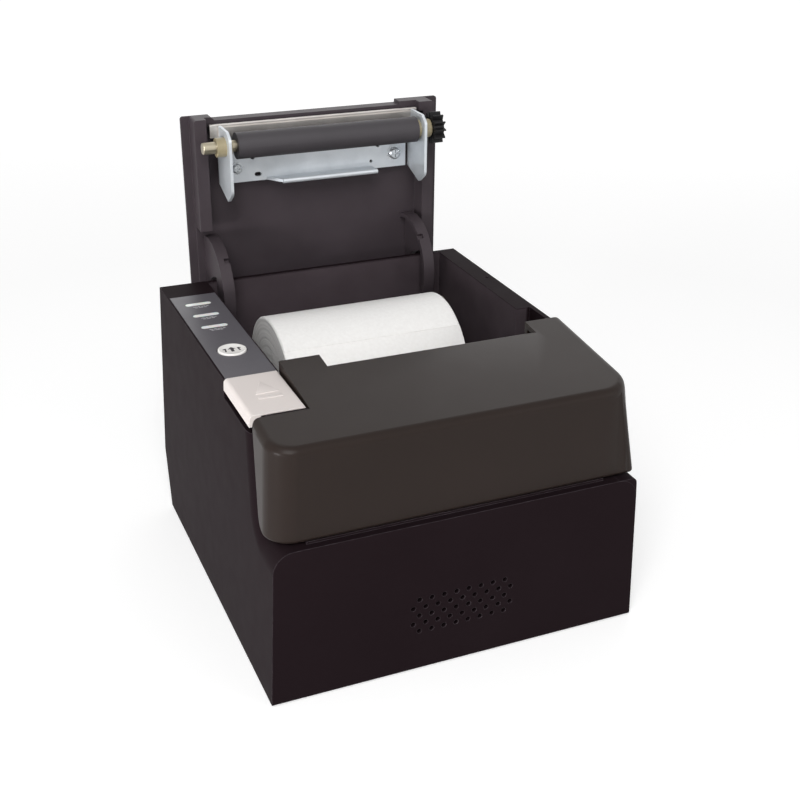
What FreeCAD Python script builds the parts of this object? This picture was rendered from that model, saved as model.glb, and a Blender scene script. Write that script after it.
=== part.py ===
import FreeCAD, Part
import math
import operator
import os
import types

import Sketcher

# Receipt printer for 80 mm paper, lid standing open.
# Frame: +X right, +Y to the rear, +Z up, millimetres; origin on the table under the middle of the whole.

SIZES = {
    # casing
    "base_width": 147.5,
    "top_width": 138.4,
    "case_depth": 160.6,
    "case_top": 101.5,
    "foot_proud": 0.8,
    "case_wall": 2.5,
    "heel_rise": 23.7,
    "heel_run": 10.7,
    "strip_width": 20.6,
    "rail_width": 8.2,
    "bay_wall": 2.0,
    "bay_wall_foot": 30.0,
    "bay_wall_front": -14.0,
    "rail_front": 1.4,
    "rail_step": -14.8,
    "rail_low": 96.0,
    "dimple_x": 65.9,
    "dimple_y": 39.4,
    "dimple_radius": 1.2,
    "dimple_depth": 0.5,
    "recess_floor": 88.0,
    "recess_skin": 2.0,
    # line between the casing and its front cover
    "ledge_height": 62.5,
    "ledge_depth": 2.6,
    "ledge_round": 8.0,
    "riser_top": -54.5,
    "riser_foot": -63.2,
    "riser_round": 7.0,
    "seat_rib": 0.9,
    "seat_length": 116.0,
    # front vent
    "vent_height": 24.1,
    "vent_pitch": 4.9,
    "vent_row": 3.4,
    "vent_radius": 0.95,
    # front cover
    "cover_gap": 0.4,
    "cover_wall": 2.2,
    "cover_front_top": 99.3,
    "cover_crest": 105.3,
    "cover_rear": -20.6,
    "cover_corner": 10.0,
    "cover_corner_right": 3.6,
    "cover_edge": 3.2,
    "cover_bullnose": 1.6,
    "notch_left": -32.6,
    "notch_right": 53.0,
    "notch_rear": -25.5,
    "notch_front": -30.0,
    "notch_drop": 2.4,
    # control strip
    "label_edge": 0.9,
    "label_rear": 65.5,
    "label_front": -20.6,
    "label_depth": 0.4,
    "lamp_length": 10.6,
    "lamp_width": 2.6,
    "lamp_first": 55.1,
    "lamp_pitch": 12.8,
    "lamp_gap": 0.1,
    "feed_place": 4.0,
    "feed_radius": 5.5,
    "feed_gap": 0.3,
    "feed_proud": 0.5,
    "feed_travel": 0.8,
    "feed_flange": 6.8,
    "feed_flange_depth": 1.2,
    "feed_stem": 2.0,
    "board_drop": 9.0,
    "board_thickness": 1.5,
    "board_front": -12.0,
    "board_rear": 66.0,
    "board_width": 14.0,
    "board_post": 2.5,
    "board_post_inset": 4.0,
    "touch_half": 3.0,
    "feed_stem_drop": 2.0,
    # lid release
    "push_front": -53.2,
    "push_rear": -21.0,
    "push_height": 4.4,
    "push_proud": 0.4,
    "push_travel": 2.5,
    "push_gap": 0.3,
    "push_round": 1.6,
    "stem_width": 4.0,
    "stem_place": -36.0,
    "latch_y": -24.0,
    "latch_z": 72.0,
    "latch_pin_radius": 1.5,
    "latch_thickness": 3.0,
    "latch_arm_top": 88.5,
    "latch_arm_depth": 2.5,
    "latch_nose_gap": 0.4,
    # hinge and lid
    "hinge_y": 72.8,
    "hinge_z": 79.6,
    "hinge_pin_radius": 2.0,
    "hub_radius": 4.2,
    "open_angle": 90.0,
    "run_gap": 0.05,
    "lid_gap": 0.4,
    "lid_front": 89.9,
    "lid_lip": 1.4,
    "lid_top": 24.8,
    "lid_plate": 2.6,
    "lid_depth": 11.3,
    "lid_border": 5.2,
    "border_end": 42.0,
    "flange_gap": 0.7,
    "flange_left": 3.6,
    "flange_right": 5.2,
    "lid_front_wall": 7.2,
    "lid_round": 1.2,
    "tab_left": 8.4,
    "tab_right": 15.0,
    "hinge_relief": 0.5,
    "arm_along": 16.2,
    "arm_up": 15.0,
    "arm_reach": 22.3,
    "arm_room": 0.8,
    "arm_thickness": 2.2,
    "arm_inset_left": 3.2,
    "arm_inset_right": 7.6,
    "arm_rim": 5.0,
    "arm_rim_depth": 2.0,
    "detent_angle": 222.6,
    "detent_half": 3.0,
    "detent_width": 2.3,
    "detent_depth": 1.6,
    # platen and its bracket, from the hinge with the lid shut
    "platen_along": 80.2,
    "platen_up": 4.9,
    "platen_radius": 5.5,
    "platen_left": -33.3,
    "platen_length": 81.1,
    "shaft_radius": 2.5,
    "shaft_left": -47.6,
    "shaft_right": 60.0,
    "bush_radius": 4.0,
    "bush_length": 6.2,
    "bush_inner": 1.2,
    "sheet": 1.2,
    "ear_gap_left": 3.5,
    "ear_gap_right": 1.6,
    "bracket_up": 17.2,
    "bracket_far": 87.0,
    "bracket_near": 61.4,
    "ear_tip": 57.0,
    "ear_tip_up": 4.0,
    "ear_low": 2.0,
    "ear_slot_width": 1.4,
    "ear_slot_length": 11.5,
    "guide_left": -17.2,
    "guide_right": 31.8,
    "guide_slant": 5.3,
    "guide_depth": 6.5,
    "guide_hem": 1.1,
    "gauge_along": 71.8,
    "gauge_left": -23.1,
    "gauge_right": 34.7,
    "gauge_radius": 1.0,
    "oval_along": 64.2,
    "oval_place": -21.0,
    "oval_length": 3.0,
    "oval_width": 1.8,
    "pip_along": 64.8,
    "pip_place": 31.4,
    "pip_radius": 0.7,
    "blade_overhang": 0.3,
    "blade_width": 5.5,
    "blade_thickness": 1.4,
    "blade_past_left": 3.4,
    "blade_past_right": 2.0,
    "blade_room": 0.8,
    "clamp_setback": 1.2,
    "clamp_width": 4.0,
    "clamp_thickness": 1.0,
    "bracket_screw_along": 67.6,
    "bracket_screw_left": -30.3,
    "bracket_screw_right": 42.4,
    "bracket_screw_grip": 4.0,
    "screw_radius": 1.5,
    "screw_head": 2.8,
    "screw_head_depth": 1.8,
    "boss_radius": 3.2,
    # gears
    "gear_width": 5.0,
    "gear_gap": 0.9,
    "tooth_module": 1.0,
    "pinion_teeth": 12,
    "idler_teeth": 20,
    "platen_teeth": 12,
    "gear_backlash": 0.15,
    "mesh_angle": 42.3,
    # roll and bucket
    "roll_y": 44.0,
    "roll_z": 63.5,
    "roll_radius": 30.5,
    "roll_left": -32.3,
    "roll_length": 79.5,
    "core_radius": 9.0,
    "core_bore": 6.4,
    "roll_gap": 0.3,
    "bucket_wall": 1.4,
    "bucket_gap": 0.3,
    "bucket_front_top": 72.0,
    "bucket_end_top": 58.0,
    # printing mechanism
    "frame_sheet": 1.5,
    "frame_front": -49.0,
    "frame_rear": 8.0,
    "frame_floor": 44.0,
    "frame_top": 87.5,
    "frame_bush_gap": 0.5,
    "frame_ear_gap": 1.7,
    "head_gap": 0.3,
    "head_thickness": 2.1,
    "head_low": 77.0,
    "head_high": 91.0,
    "sink_thickness": 5.7,
    "sink_low": 70.5,
    "sink_fin": 2.4,
    "spring_sheet": 0.8,
    "spring_width": 18.0,
    "spring_drop": 8.0,
    "spring_fall": 3.5,
    "cutter_front": -50.0,
    "cutter_rear": -23.0,
    "cutter_low": 88.0,
    "cutter_high": 92.2,
    "cutter_side": 1.2,
    "moving_blade_low": 92.6,
    "moving_blade_thickness": 1.0,
    "moving_blade_rear": -22.0,
    "moving_blade_depth": 23.0,
    "moving_blade_side": 1.2,
    "blade_travel": 8.2,
    "cutter_motor_radius": 10.0,
    "cutter_motor_length": 28.0,
    "cutter_motor_left": -30.0,
    "cutter_motor_y": -34.0,
    "cutter_motor_z": 68.0,
    "feed_motor_radius": 14.0,
    "feed_motor_length": 20.0,
    "feed_motor_y": -32.8,
    "feed_motor_z": 61.2,
    "motor_shaft_radius": 1.5,
    "stud_radius": 2.0,
    # base, boards and rear sockets
    "tray_thickness": 2.5,
    "tray_gap": 0.3,
    "post_radius": 4.0,
    "main_board_height": 25.4,
    "main_board_thickness": 1.6,
    "main_board_left": -60.0,
    "main_board_right": 55.0,
    "main_board_front": 10.0,
    "main_board_rear": 72.0,
    "socket_front": 67.5,
    "socket_height": 13.0,
    "socket_wall": 1.2,
    "socket_depth": 9.0,
    "socket_inset": 0.4,
    "inlet_place": -40.0,
    "inlet_width": 14.0,
    "usb_place": -20.0,
    "usb_width": 12.0,
    "drawer_place": 4.0,
    "drawer_width": 13.0,
    "switch_place": 34.0,
    "switch_width": 14.0,
    "rocker_gap": 0.3,
    "rocker_pivot": 2.6,
    "rocker_pin_radius": 1.0,
    "rocker_pin_length": 0.8,
    "foot_radius": 7.0,
    "foot_thickness": 2.0,
    "foot_x": 56.0,
    "foot_front": -63.0,
    "foot_rear": 50.0,
    "case_screw_inset": 3.84,
    "case_screw_y": 40.0,
    "case_boss_top": 20.0,
}


class Dim:
    """A length that carries the sheet expression it comes from."""

    def __init__(self, value, text):
        self.value = float(value)
        self.text = text

    def __add__(self, other):
        return joined(self, operator.add, "+", other)

    def __radd__(self, other):
        return joined(other, operator.add, "+", self)

    def __sub__(self, other):
        return joined(self, operator.sub, "-", other)

    def __rsub__(self, other):
        return joined(other, operator.sub, "-", self)

    def __mul__(self, other):
        return joined(self, operator.mul, "*", other)

    def __rmul__(self, other):
        return joined(other, operator.mul, "*", self)

    def __truediv__(self, other):
        return joined(self, operator.truediv, "/", other)

    def __rtruediv__(self, other):
        return joined(other, operator.truediv, "/", self)

    def __neg__(self):
        return joined(0.0, operator.sub, "-", self)


def dim(number):
    return number if isinstance(number, Dim) else Dim(number, f"({float(number)!r})")


def joined(first, action, sign, second):
    first = dim(first)
    second = dim(second)
    return Dim(action(first.value, second.value), f"({first.text} {sign} {second.text})")


def root(number):
    return Dim(math.sqrt(number.value), f"sqrt({number.text})")


def polar(radius, degrees):
    """The two coordinates of a point at a radius and an angle."""
    radius = dim(radius)
    degrees = dim(degrees)
    turn = math.radians(degrees.value)
    angle = f"{degrees.text} * 1 deg"
    across = Dim(radius.value * math.cos(turn), f"({radius.text} * cos({angle}))")
    upward = Dim(radius.value * math.sin(turn), f"({radius.text} * sin({angle}))")
    return across, upward


doc = FreeCAD.newDocument("receipt_printer")
sheet = doc.addObject("Spreadsheet::Sheet", "Sizes")
for row, (name, value) in enumerate(SIZES.items(), start=1):
    sheet.set(f"A{row}", name)
    sheet.set(f"B{row}", str(value))
    sheet.setAlias(f"B{row}", name)
doc.recompute()
s = types.SimpleNamespace(**{name: Dim(value, f"Sizes.{name}") for name, value in SIZES.items()})

nodes = []
TURNS = {
    "X": FreeCAD.Rotation(FreeCAD.Vector(0, 1, 0), 90),
    "Y": FreeCAD.Rotation(FreeCAD.Vector(1, 0, 0), -90),
    "Z": FreeCAD.Rotation(),
}
PLANES = {"X": "YZ_Plane", "Y": "XZ_Plane", "Z": "XY_Plane"}
BEYOND = 12.0  # how far a cutting tool reaches past the face it cuts


def bind(obj, prop, length):
    obj.setExpression(prop, dim(length).text)


def place(obj, x, y, z):
    bind(obj, "Placement.Base.x", x)
    bind(obj, "Placement.Base.y", y)
    bind(obj, "Placement.Base.z", z)


def box(name, x, y, z):
    """Box between the low and the high of each pair."""
    obj = doc.addObject("Part::Box", name)
    bind(obj, "Length", dim(x[1]) - x[0])
    bind(obj, "Width", dim(y[1]) - y[0])
    bind(obj, "Height", dim(z[1]) - z[0])
    place(obj, x[0], y[0], z[0])
    return obj


def rod(name, axis, centre, radius, span):
    """Cylinder along an axis over a span; centre holds its other two coordinates."""
    obj = doc.addObject("Part::Cylinder", name)
    obj.Placement = FreeCAD.Placement(FreeCAD.Vector(), TURNS[axis])
    bind(obj, "Radius", radius)
    bind(obj, "Height", dim(span[1]) - span[0])
    first, second = centre
    spot = {"X": (span[0], first, second), "Y": (first, span[0], second), "Z": (first, second, span[0])}
    place(obj, *spot[axis])
    return obj


def sketch_in(body, name, axis):
    sketch = body.newObject("Sketcher::SketchObject", name)
    plane = [item for item in body.Origin.OriginFeatures if item.Role == PLANES[axis]][0]
    sketch.AttachmentSupport = [(plane, "")]
    sketch.MapMode = "FlatFace"
    return sketch


def limit(sketch, kind, *where):
    """Adds a constraint whose last item is a length, and binds it."""
    *elements, length = where
    length = dim(length)
    index = sketch.addConstraint(Sketcher.Constraint(kind, *elements, length.value))
    sketch.setExpression(f"Constraints[{index}]", length.text)


def fix_point(sketch, element, end, across, upward):
    limit(sketch, "DistanceX", -1, 1, element, end, across)
    limit(sketch, "DistanceY", -1, 1, element, end, upward)


def corner_arc(before, corner, after, radius):
    """Where the round of a corner starts and ends, its centre, and whether it turns left."""
    into = (corner - before).normalize()
    out = (after - corner).normalize()
    turn = into.cross(out).z
    half = 0.5 * math.acos(max(-1.0, min(1.0, into.dot(out))))
    reach = radius * math.tan(half)
    start = corner - into * reach
    end = corner + out * reach
    inward = FreeCAD.Vector(-into.y, into.x, 0) * (radius if turn > 0 else -radius)
    return start, end, start + inward, turn > 0


def outline(sketch, corners):
    """Closed outline; each corner is (across, upward) or (across, upward, radius)."""
    spots = [FreeCAD.Vector(dim(c[0]).value, dim(c[1]).value, 0) for c in corners]
    count = len(corners)
    rounds = {}
    for i, corner in enumerate(corners):
        if len(corner) == 3:
            rounds[i] = corner_arc(spots[i - 1], spots[i], spots[(i + 1) % count], dim(corner[2]).value)
    lines = []
    for i in range(count):
        j = (i + 1) % count
        start = rounds[i][1] if i in rounds else spots[i]
        end = rounds[j][0] if j in rounds else spots[j]
        lines.append(sketch.addGeometry(Part.LineSegment(start, end), False))
    for i, corner in enumerate(corners):
        before = lines[i - 1]
        after = lines[i]
        if i not in rounds:
            sketch.addConstraint(Sketcher.Constraint("Coincident", before, 2, after, 1))
            fix_point(sketch, after, 1, corner[0], corner[1])
            continue
        start, end, centre, left = rounds[i]
        first, last = (start, end) if left else (end, start)
        angles = [math.atan2(p.y - centre.y, p.x - centre.x) for p in (first, last)]
        circle = Part.Circle(centre, FreeCAD.Vector(0, 0, 1), dim(corner[2]).value)
        arc = sketch.addGeometry(Part.ArcOfCircle(circle, *angles), False)
        point = sketch.addGeometry(Part.Point(spots[i]), True)
        sketch.addConstraint(Sketcher.Constraint("Tangent", before, 2, arc, 1 if left else 2))
        sketch.addConstraint(Sketcher.Constraint("Tangent", arc, 2 if left else 1, after, 1))
        sketch.addConstraint(Sketcher.Constraint("PointOnObject", point, 1, before))
        sketch.addConstraint(Sketcher.Constraint("PointOnObject", point, 1, after))
        limit(sketch, "Radius", arc, corner[2])
        fix_point(sketch, point, 1, corner[0], corner[1])


def ring(sketch, across, upward, radius):
    spot = FreeCAD.Vector(dim(across).value, dim(upward).value, 0)
    circle = Part.Circle(spot, FreeCAD.Vector(0, 0, 1), dim(radius).value)
    element = sketch.addGeometry(circle, False)
    fix_point(sketch, element, 3, across, upward)
    limit(sketch, "Radius", element, radius)


def pad(body, sketch, name, axis, span):
    """Pads a sketch along its axis over a span."""
    feature = body.newObject("PartDesign::Pad", name)
    feature.Profile = sketch
    bind(feature, "Length", dim(span[1]) - span[0])
    bind(sketch, "AttachmentOffset.Base.z", -dim(span[1]) if axis == "Y" else span[0])
    return feature


def prism(name, axis, corners, span, holes=()):
    """A body with one padded outline, and round holes through it."""
    body = doc.addObject("PartDesign::Body", name)
    sketch = sketch_in(body, name + "_sketch", axis)
    outline(sketch, corners)
    for hole in holes:
        ring(sketch, *hole)
    pad(body, sketch, name + "_pad", axis, span)
    return body


def cut(name, base, *tools):
    obj = doc.addObject("Part::Cut", name)
    obj.Base = base
    obj.Tool = tools[0] if len(tools) == 1 else fuse(name + "_tools", *tools)
    obj.Refine = True
    return obj


def fuse(name, *pieces):
    obj = doc.addObject("Part::MultiFuse", name)
    obj.Shapes = list(pieces)
    obj.Refine = True
    return obj


def common(name, *pieces):
    obj = doc.addObject("Part::MultiCommon", name)
    obj.Shapes = list(pieces)
    obj.Refine = True
    return obj


def group(name, *pieces):
    obj = doc.addObject("Part::Compound", name)
    obj.Links = list(pieces)
    return obj


def rounded(name, base, *choices):
    """Fillets the edges that each (test, radius) pair picks."""
    doc.recompute()
    edges = []
    for index, edge in enumerate(base.Shape.Edges, start=1):
        for picks, radius in choices:
            if picks(edge):
                edges.append((index, radius.value, radius.value))
    obj = doc.addObject("Part::Fillet", name)
    obj.Base = base
    obj.Edges = edges
    return obj


def near(first, second):
    return abs(first - dim(second).value) < 0.02


def keep(obj, rear=0):
    """Marks a finished sub-part, and moves it from the casing's middle to the frame."""
    bind(obj, "Placement.Base.y", rear - frame_back)
    obj.Label = obj.Name
    nodes.append(obj)
    return obj


def keep_on_lid(obj):
    """Marks a sub-part drawn round the hinge with the lid shut, and swings it open."""
    swing = FreeCAD.Rotation(FreeCAD.Vector(-1, 0, 0), s.open_angle.value)
    obj.Placement = FreeCAD.Placement(FreeCAD.Vector(), swing)
    bind(obj, "Placement.Base.z", s.hinge_z)
    return keep(obj, s.hinge_y)


# Places that several pieces share. Depths are measured from the middle of the casing,
# and the open lid's back puts the middle of the whole further to the rear.
half_depth = s.case_depth / 2
frame_back = (s.hinge_y + s.lid_top - half_depth) / 2
half_base = s.base_width / 2
half_top = s.top_width / 2
case_low = s.foot_proud
bay_left = s.strip_width - half_top
bay_right = half_top - s.rail_width
rear_inside = half_depth - s.case_wall
tray_top = case_low + s.tray_thickness
strip_middle = (bay_left - half_top) / 2
strip_under = s.case_top - s.case_wall
side_slope = (half_base - half_top) / (s.case_top - case_low)
board_low = strip_under - s.board_drop
board_top = board_low + s.board_thickness
blade_edge = s.bracket_far + s.blade_overhang


def half_at(height):
    """Half the casing's width at a height."""
    return half_base - side_slope * (height - case_low)


def tapered(name, inset, low, high, span):
    """Front view of the casing, drawn in by an inset, along the depth."""
    left_low = inset - half_at(low)
    left_high = inset - half_at(high)
    corners = [(left_low, low), (-left_low, low), (-left_high, high), (left_high, high)]
    return prism(name, "Y", corners, span)


# Casing
def make_housing():
    far = half_base + BEYOND
    outer_side = prism("housing_side", "X", [
        (-half_depth, case_low),
        (half_depth - s.heel_run, case_low),
        (half_depth, case_low + s.heel_rise),
        (half_depth, s.case_top),
        (s.riser_top, s.case_top),
        (s.riser_foot, s.ledge_height, s.riser_round),
        (-half_depth, s.ledge_height),
    ], (-far, far))
    outer_front = tapered("housing_front", dim(0), case_low, s.case_top, (-half_depth, half_depth))
    outer = common("housing_outer", outer_side, outer_front)

    def ledge_side(edge):
        low = edge.BoundBox
        flat = near(low.ZMin, s.ledge_height) and near(low.ZMax, s.ledge_height)
        return flat and near(low.YMin, -half_depth) and low.XLength < low.YLength

    outer = rounded("housing_ledge", outer, (ledge_side, s.ledge_round))
    floor = case_low - 1
    hollow_side = prism("housing_hollow_side", "X", [
        (s.case_wall - half_depth, floor),
        (rear_inside - s.heel_run, floor),
        (rear_inside, case_low + s.heel_rise),
        (rear_inside, strip_under),
        (s.riser_top + s.case_wall, strip_under),
        (s.riser_foot + s.case_wall, s.ledge_height - s.case_wall),
        (s.case_wall - half_depth, s.ledge_height - s.case_wall),
    ], (-far, far))
    hollow_front = tapered("housing_hollow_front", s.case_wall, floor, s.case_top, (-half_depth, half_depth))
    corner_cut = s.ledge_round - s.case_wall
    hollow = common("housing_hollow", hollow_side, hollow_front)

    def hollow_side_edge(edge):
        low = edge.BoundBox
        height = s.ledge_height - s.case_wall
        flat = near(low.ZMin, height) and near(low.ZMax, height)
        return flat and low.XLength < low.YLength

    hollow = rounded("housing_hollow_ledge", hollow, (hollow_side_edge, corner_cut))
    shell = cut("housing_shell", outer, hollow)

    above = s.case_top + BEYOND
    rail_inner = half_at(s.case_top) - s.recess_skin
    bay = box("bay_mouth", (bay_left, bay_right), (s.riser_foot, rear_inside), (s.recess_floor, above))
    front_room = box("cover_room", (bay_left, far), (-half_depth - 1, s.rail_step), (s.rail_low, above))
    recess = box("rail_recess", (bay_right, rail_inner), (s.rail_step, s.rail_front), (s.recess_floor, above))
    push_slot = box(
        "push_slot",
        (-far, bay_left),
        (s.push_front - s.push_gap, s.push_rear + s.push_gap),
        (s.case_top - s.push_height - s.push_travel, above),
    )
    open_shell = cut("housing_open", shell, bay, front_room, recess, push_slot)

    wall_left = box(
        "bay_wall_left",
        (bay_left - s.bay_wall, bay_left),
        (s.bay_wall_front, rear_inside),
        (s.bay_wall_foot, s.case_top - s.label_depth - 0.2),
    )
    wall_right = box(
        "bay_wall_right",
        (bay_right, bay_right + s.bay_wall),
        (s.rail_front, rear_inside),
        (s.bay_wall_foot, s.case_top),
    )
    recess_floor = box(
        "rail_recess_floor",
        (bay_right, half_at(s.recess_floor) - s.case_wall / 2),
        (s.rail_step, s.rail_front),
        (s.recess_floor - s.bay_wall, s.recess_floor),
    )
    recess_back = box(
        "rail_recess_back",
        (bay_right, rail_inner),
        (s.rail_front, s.rail_front + s.bay_wall),
        (s.recess_floor - s.bay_wall, s.case_top),
    )
    posts = []
    for index, y in enumerate((s.board_front + s.board_post_inset, s.board_rear - s.board_post_inset)):
        span = (board_top, strip_under + 0.5)
        posts.append(rod(f"board_post_{index}", "Z", (strip_middle, y), s.board_post, span))
    for index, (x, y) in enumerate(case_screw_spots()):
        span = (tray_top, s.case_boss_top)
        posts.append(rod(f"case_boss_{index}", "Z", (x, y), s.post_radius, span))
    rib_front = s.ledge_depth - half_depth + 0.5
    rib = box(
        "seat_rib_bar",
        (-s.seat_length / 2, s.seat_length / 2),
        (rib_front, rib_front + s.cover_wall - 0.8),
        (s.ledge_height - 0.5, s.ledge_height + s.seat_rib),
    )
    walls = fuse("housing_walls", open_shell, wall_left, wall_right, recess_floor, recess_back, rib, *posts)

    holes = [label_box("label_pocket", above)]
    for index, y in enumerate(lamp_places()):
        holes.append(lamp(f"lamp_slot_{index}", y, s.lamp_gap, (strip_under - 1, above)))
    feed_spot = (strip_middle, s.feed_place)
    holes.append(rod("feed_hole", "Z", feed_spot, s.feed_radius + s.feed_gap, (strip_under - 1, above)))
    pin_span = (bay_left - s.bay_wall - 1, bay_right + s.bay_wall + 1)
    holes.append(rod("pin_hole", "X", (s.hinge_y, s.hinge_z), s.hinge_pin_radius, pin_span))
    for index, (x, y) in enumerate(case_screw_spots()):
        holes.append(rod(f"boss_hole_{index}", "Z", (x, y), s.screw_radius, (case_low, s.case_boss_top - 4)))
    dimple = (s.case_top - s.dimple_depth, above)
    holes.append(rod("rail_dimple", "Z", (s.dimple_x, s.dimple_y), s.dimple_radius, dimple))
    holes.extend(vent_holes())
    holes.extend(socket_windows())
    return keep(cut("main_housing", walls, *holes))


def case_screw_spots():
    x = half_at(tray_top) - s.case_wall - s.case_screw_inset
    return [(side, y) for side in (-x, x) for y in (-s.case_screw_y, s.case_screw_y)]


def vent_holes():
    """Staggered rows of round holes in the front wall."""
    rows = (8, 9, 8, 9, 8)
    holes = []
    for line, count in enumerate(rows):
        z = s.vent_height + s.vent_row * (line - (len(rows) - 1) / 2)
        for column in range(count):
            x = s.vent_pitch * (column - (count - 1) / 2)
            span = (-half_depth - 1, s.case_wall - half_depth + 1)
            holes.append(rod(f"vent_{line}_{column}", "Y", (x, z), s.vent_radius, span))
    return holes


def label_box(name, top):
    """The label's outline, up to a height."""
    x = (s.label_edge - half_top, bay_left - s.label_edge / 2)
    return box(name, x, (s.label_front, s.label_rear), (s.case_top - s.label_depth, top))


def lamp_places():
    return [s.lamp_first - s.lamp_pitch * index for index in range(3)]


def lamp(name, y, grow, span):
    """Bar with round ends, across the strip."""
    half = s.lamp_length / 2 + grow
    side = s.lamp_width / 2 + grow
    end = side * 0.95
    return prism(name, "Z", [
        (strip_middle - half, y - side, end),
        (strip_middle + half, y - side, end),
        (strip_middle + half, y + side, end),
        (strip_middle - half, y + side, end),
    ], span)


def make_base():
    half = half_at(tray_top) - s.case_wall - s.tray_gap
    front = s.case_wall + s.tray_gap - half_depth
    rear = rear_inside - s.heel_run - s.tray_gap
    plate = box("tray_plate", (-half, half), (front, rear), (case_low, tray_top))
    posts = []
    for index, (x, y) in enumerate(frame_post_spots()):
        posts.append(rod(f"frame_post_{index}", "Z", (x, y), s.post_radius, (case_low + 1, s.frame_floor)))
    for index, (x, y) in enumerate(main_board_spots()):
        posts.append(rod(f"main_post_{index}", "Z", (x, y), s.post_radius, (case_low + 1, s.main_board_height)))
    holes = []
    for index, (x, y) in enumerate(foot_spots()):
        span = (case_low - 1, s.foot_thickness)
        holes.append(rod(f"foot_pocket_{index}", "Z", (x, y), s.foot_radius, span))
    for index, (x, y) in enumerate(case_screw_spots()):
        holes.append(rod(f"tray_hole_{index}", "Z", (x, y), s.screw_radius, (case_low - 1, tray_top + 1)))
        head = (case_low - 1, case_low + s.screw_head_depth)
        holes.append(rod(f"tray_sink_{index}", "Z", (x, y), s.screw_head, head))
    keep(cut("base_tray", fuse("tray_solid", plate, *posts), *holes))

    feet = []
    for index, (x, y) in enumerate(foot_spots()):
        feet.append(rod(f"foot_{index}", "Z", (x, y), s.foot_radius, (dim(0), s.foot_thickness)))
    keep(group("rubber_feet", *feet))

    screws = []
    for index, (x, y) in enumerate(case_screw_spots()):
        head = rod(f"case_head_{index}", "Z", (x, y), s.screw_head, (case_low + 0.3, case_low + s.screw_head_depth))
        shank = rod(f"case_shank_{index}", "Z", (x, y), s.screw_radius, (case_low + 1, s.case_boss_top - 5))
        screws.append(fuse(f"case_screw_{index}", head, shank))
    keep(group("case_screws", *screws))


def foot_spots():
    return [(x, y) for x in (-s.foot_x, s.foot_x) for y in (s.foot_front, s.foot_rear)]


def frame_post_spots():
    left = frame_left() + s.post_radius
    right = frame_right() - s.post_radius
    return [(x, y) for x in (left, right) for y in (s.frame_front + 6, s.frame_rear - 5)]


def main_board_spots():
    xs = (s.main_board_left + 6, s.main_board_right - 6)
    return [(x, y) for x in xs for y in (s.main_board_front + 6, s.main_board_rear - 14)]


# Front cover
def crown(y):
    """Height of the cover's sloping top at a depth."""
    front = s.ledge_depth - half_depth
    slope = (s.cover_crest - s.cover_front_top) / (s.cover_rear - front)
    return s.cover_front_top + slope * (y - front)


def cover_profile(name, inset, span):
    """Side view of the cover in front of the riser."""
    lean = (s.riser_top - s.riser_foot) / (s.case_top - s.ledge_height)
    front = s.ledge_depth - half_depth + inset
    low = s.ledge_height + s.seat_rib - (BEYOND if inset.value > 0 else 0)
    back_low = s.riser_foot - s.cover_gap - inset + lean * (low - s.ledge_height)
    back_top = s.riser_top - s.cover_gap - inset
    corners = [(front, low), (back_low, low), (back_top, crown(back_top) - inset), (front, crown(front) - inset)]
    if inset.value == 0:
        corners[1] = (back_low, low, s.riser_round)
    return prism(name, "X", corners, span)


def cover_deck(name, inset, span, low):
    """Side view of the cover's top from above the riser to its rear edge."""
    front = s.riser_foot
    rear = s.cover_rear - inset
    corners = [(front, low), (rear, low), (rear, crown(rear) - inset), (front, crown(front) - inset)]
    return prism(name, "X", corners, span)


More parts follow.
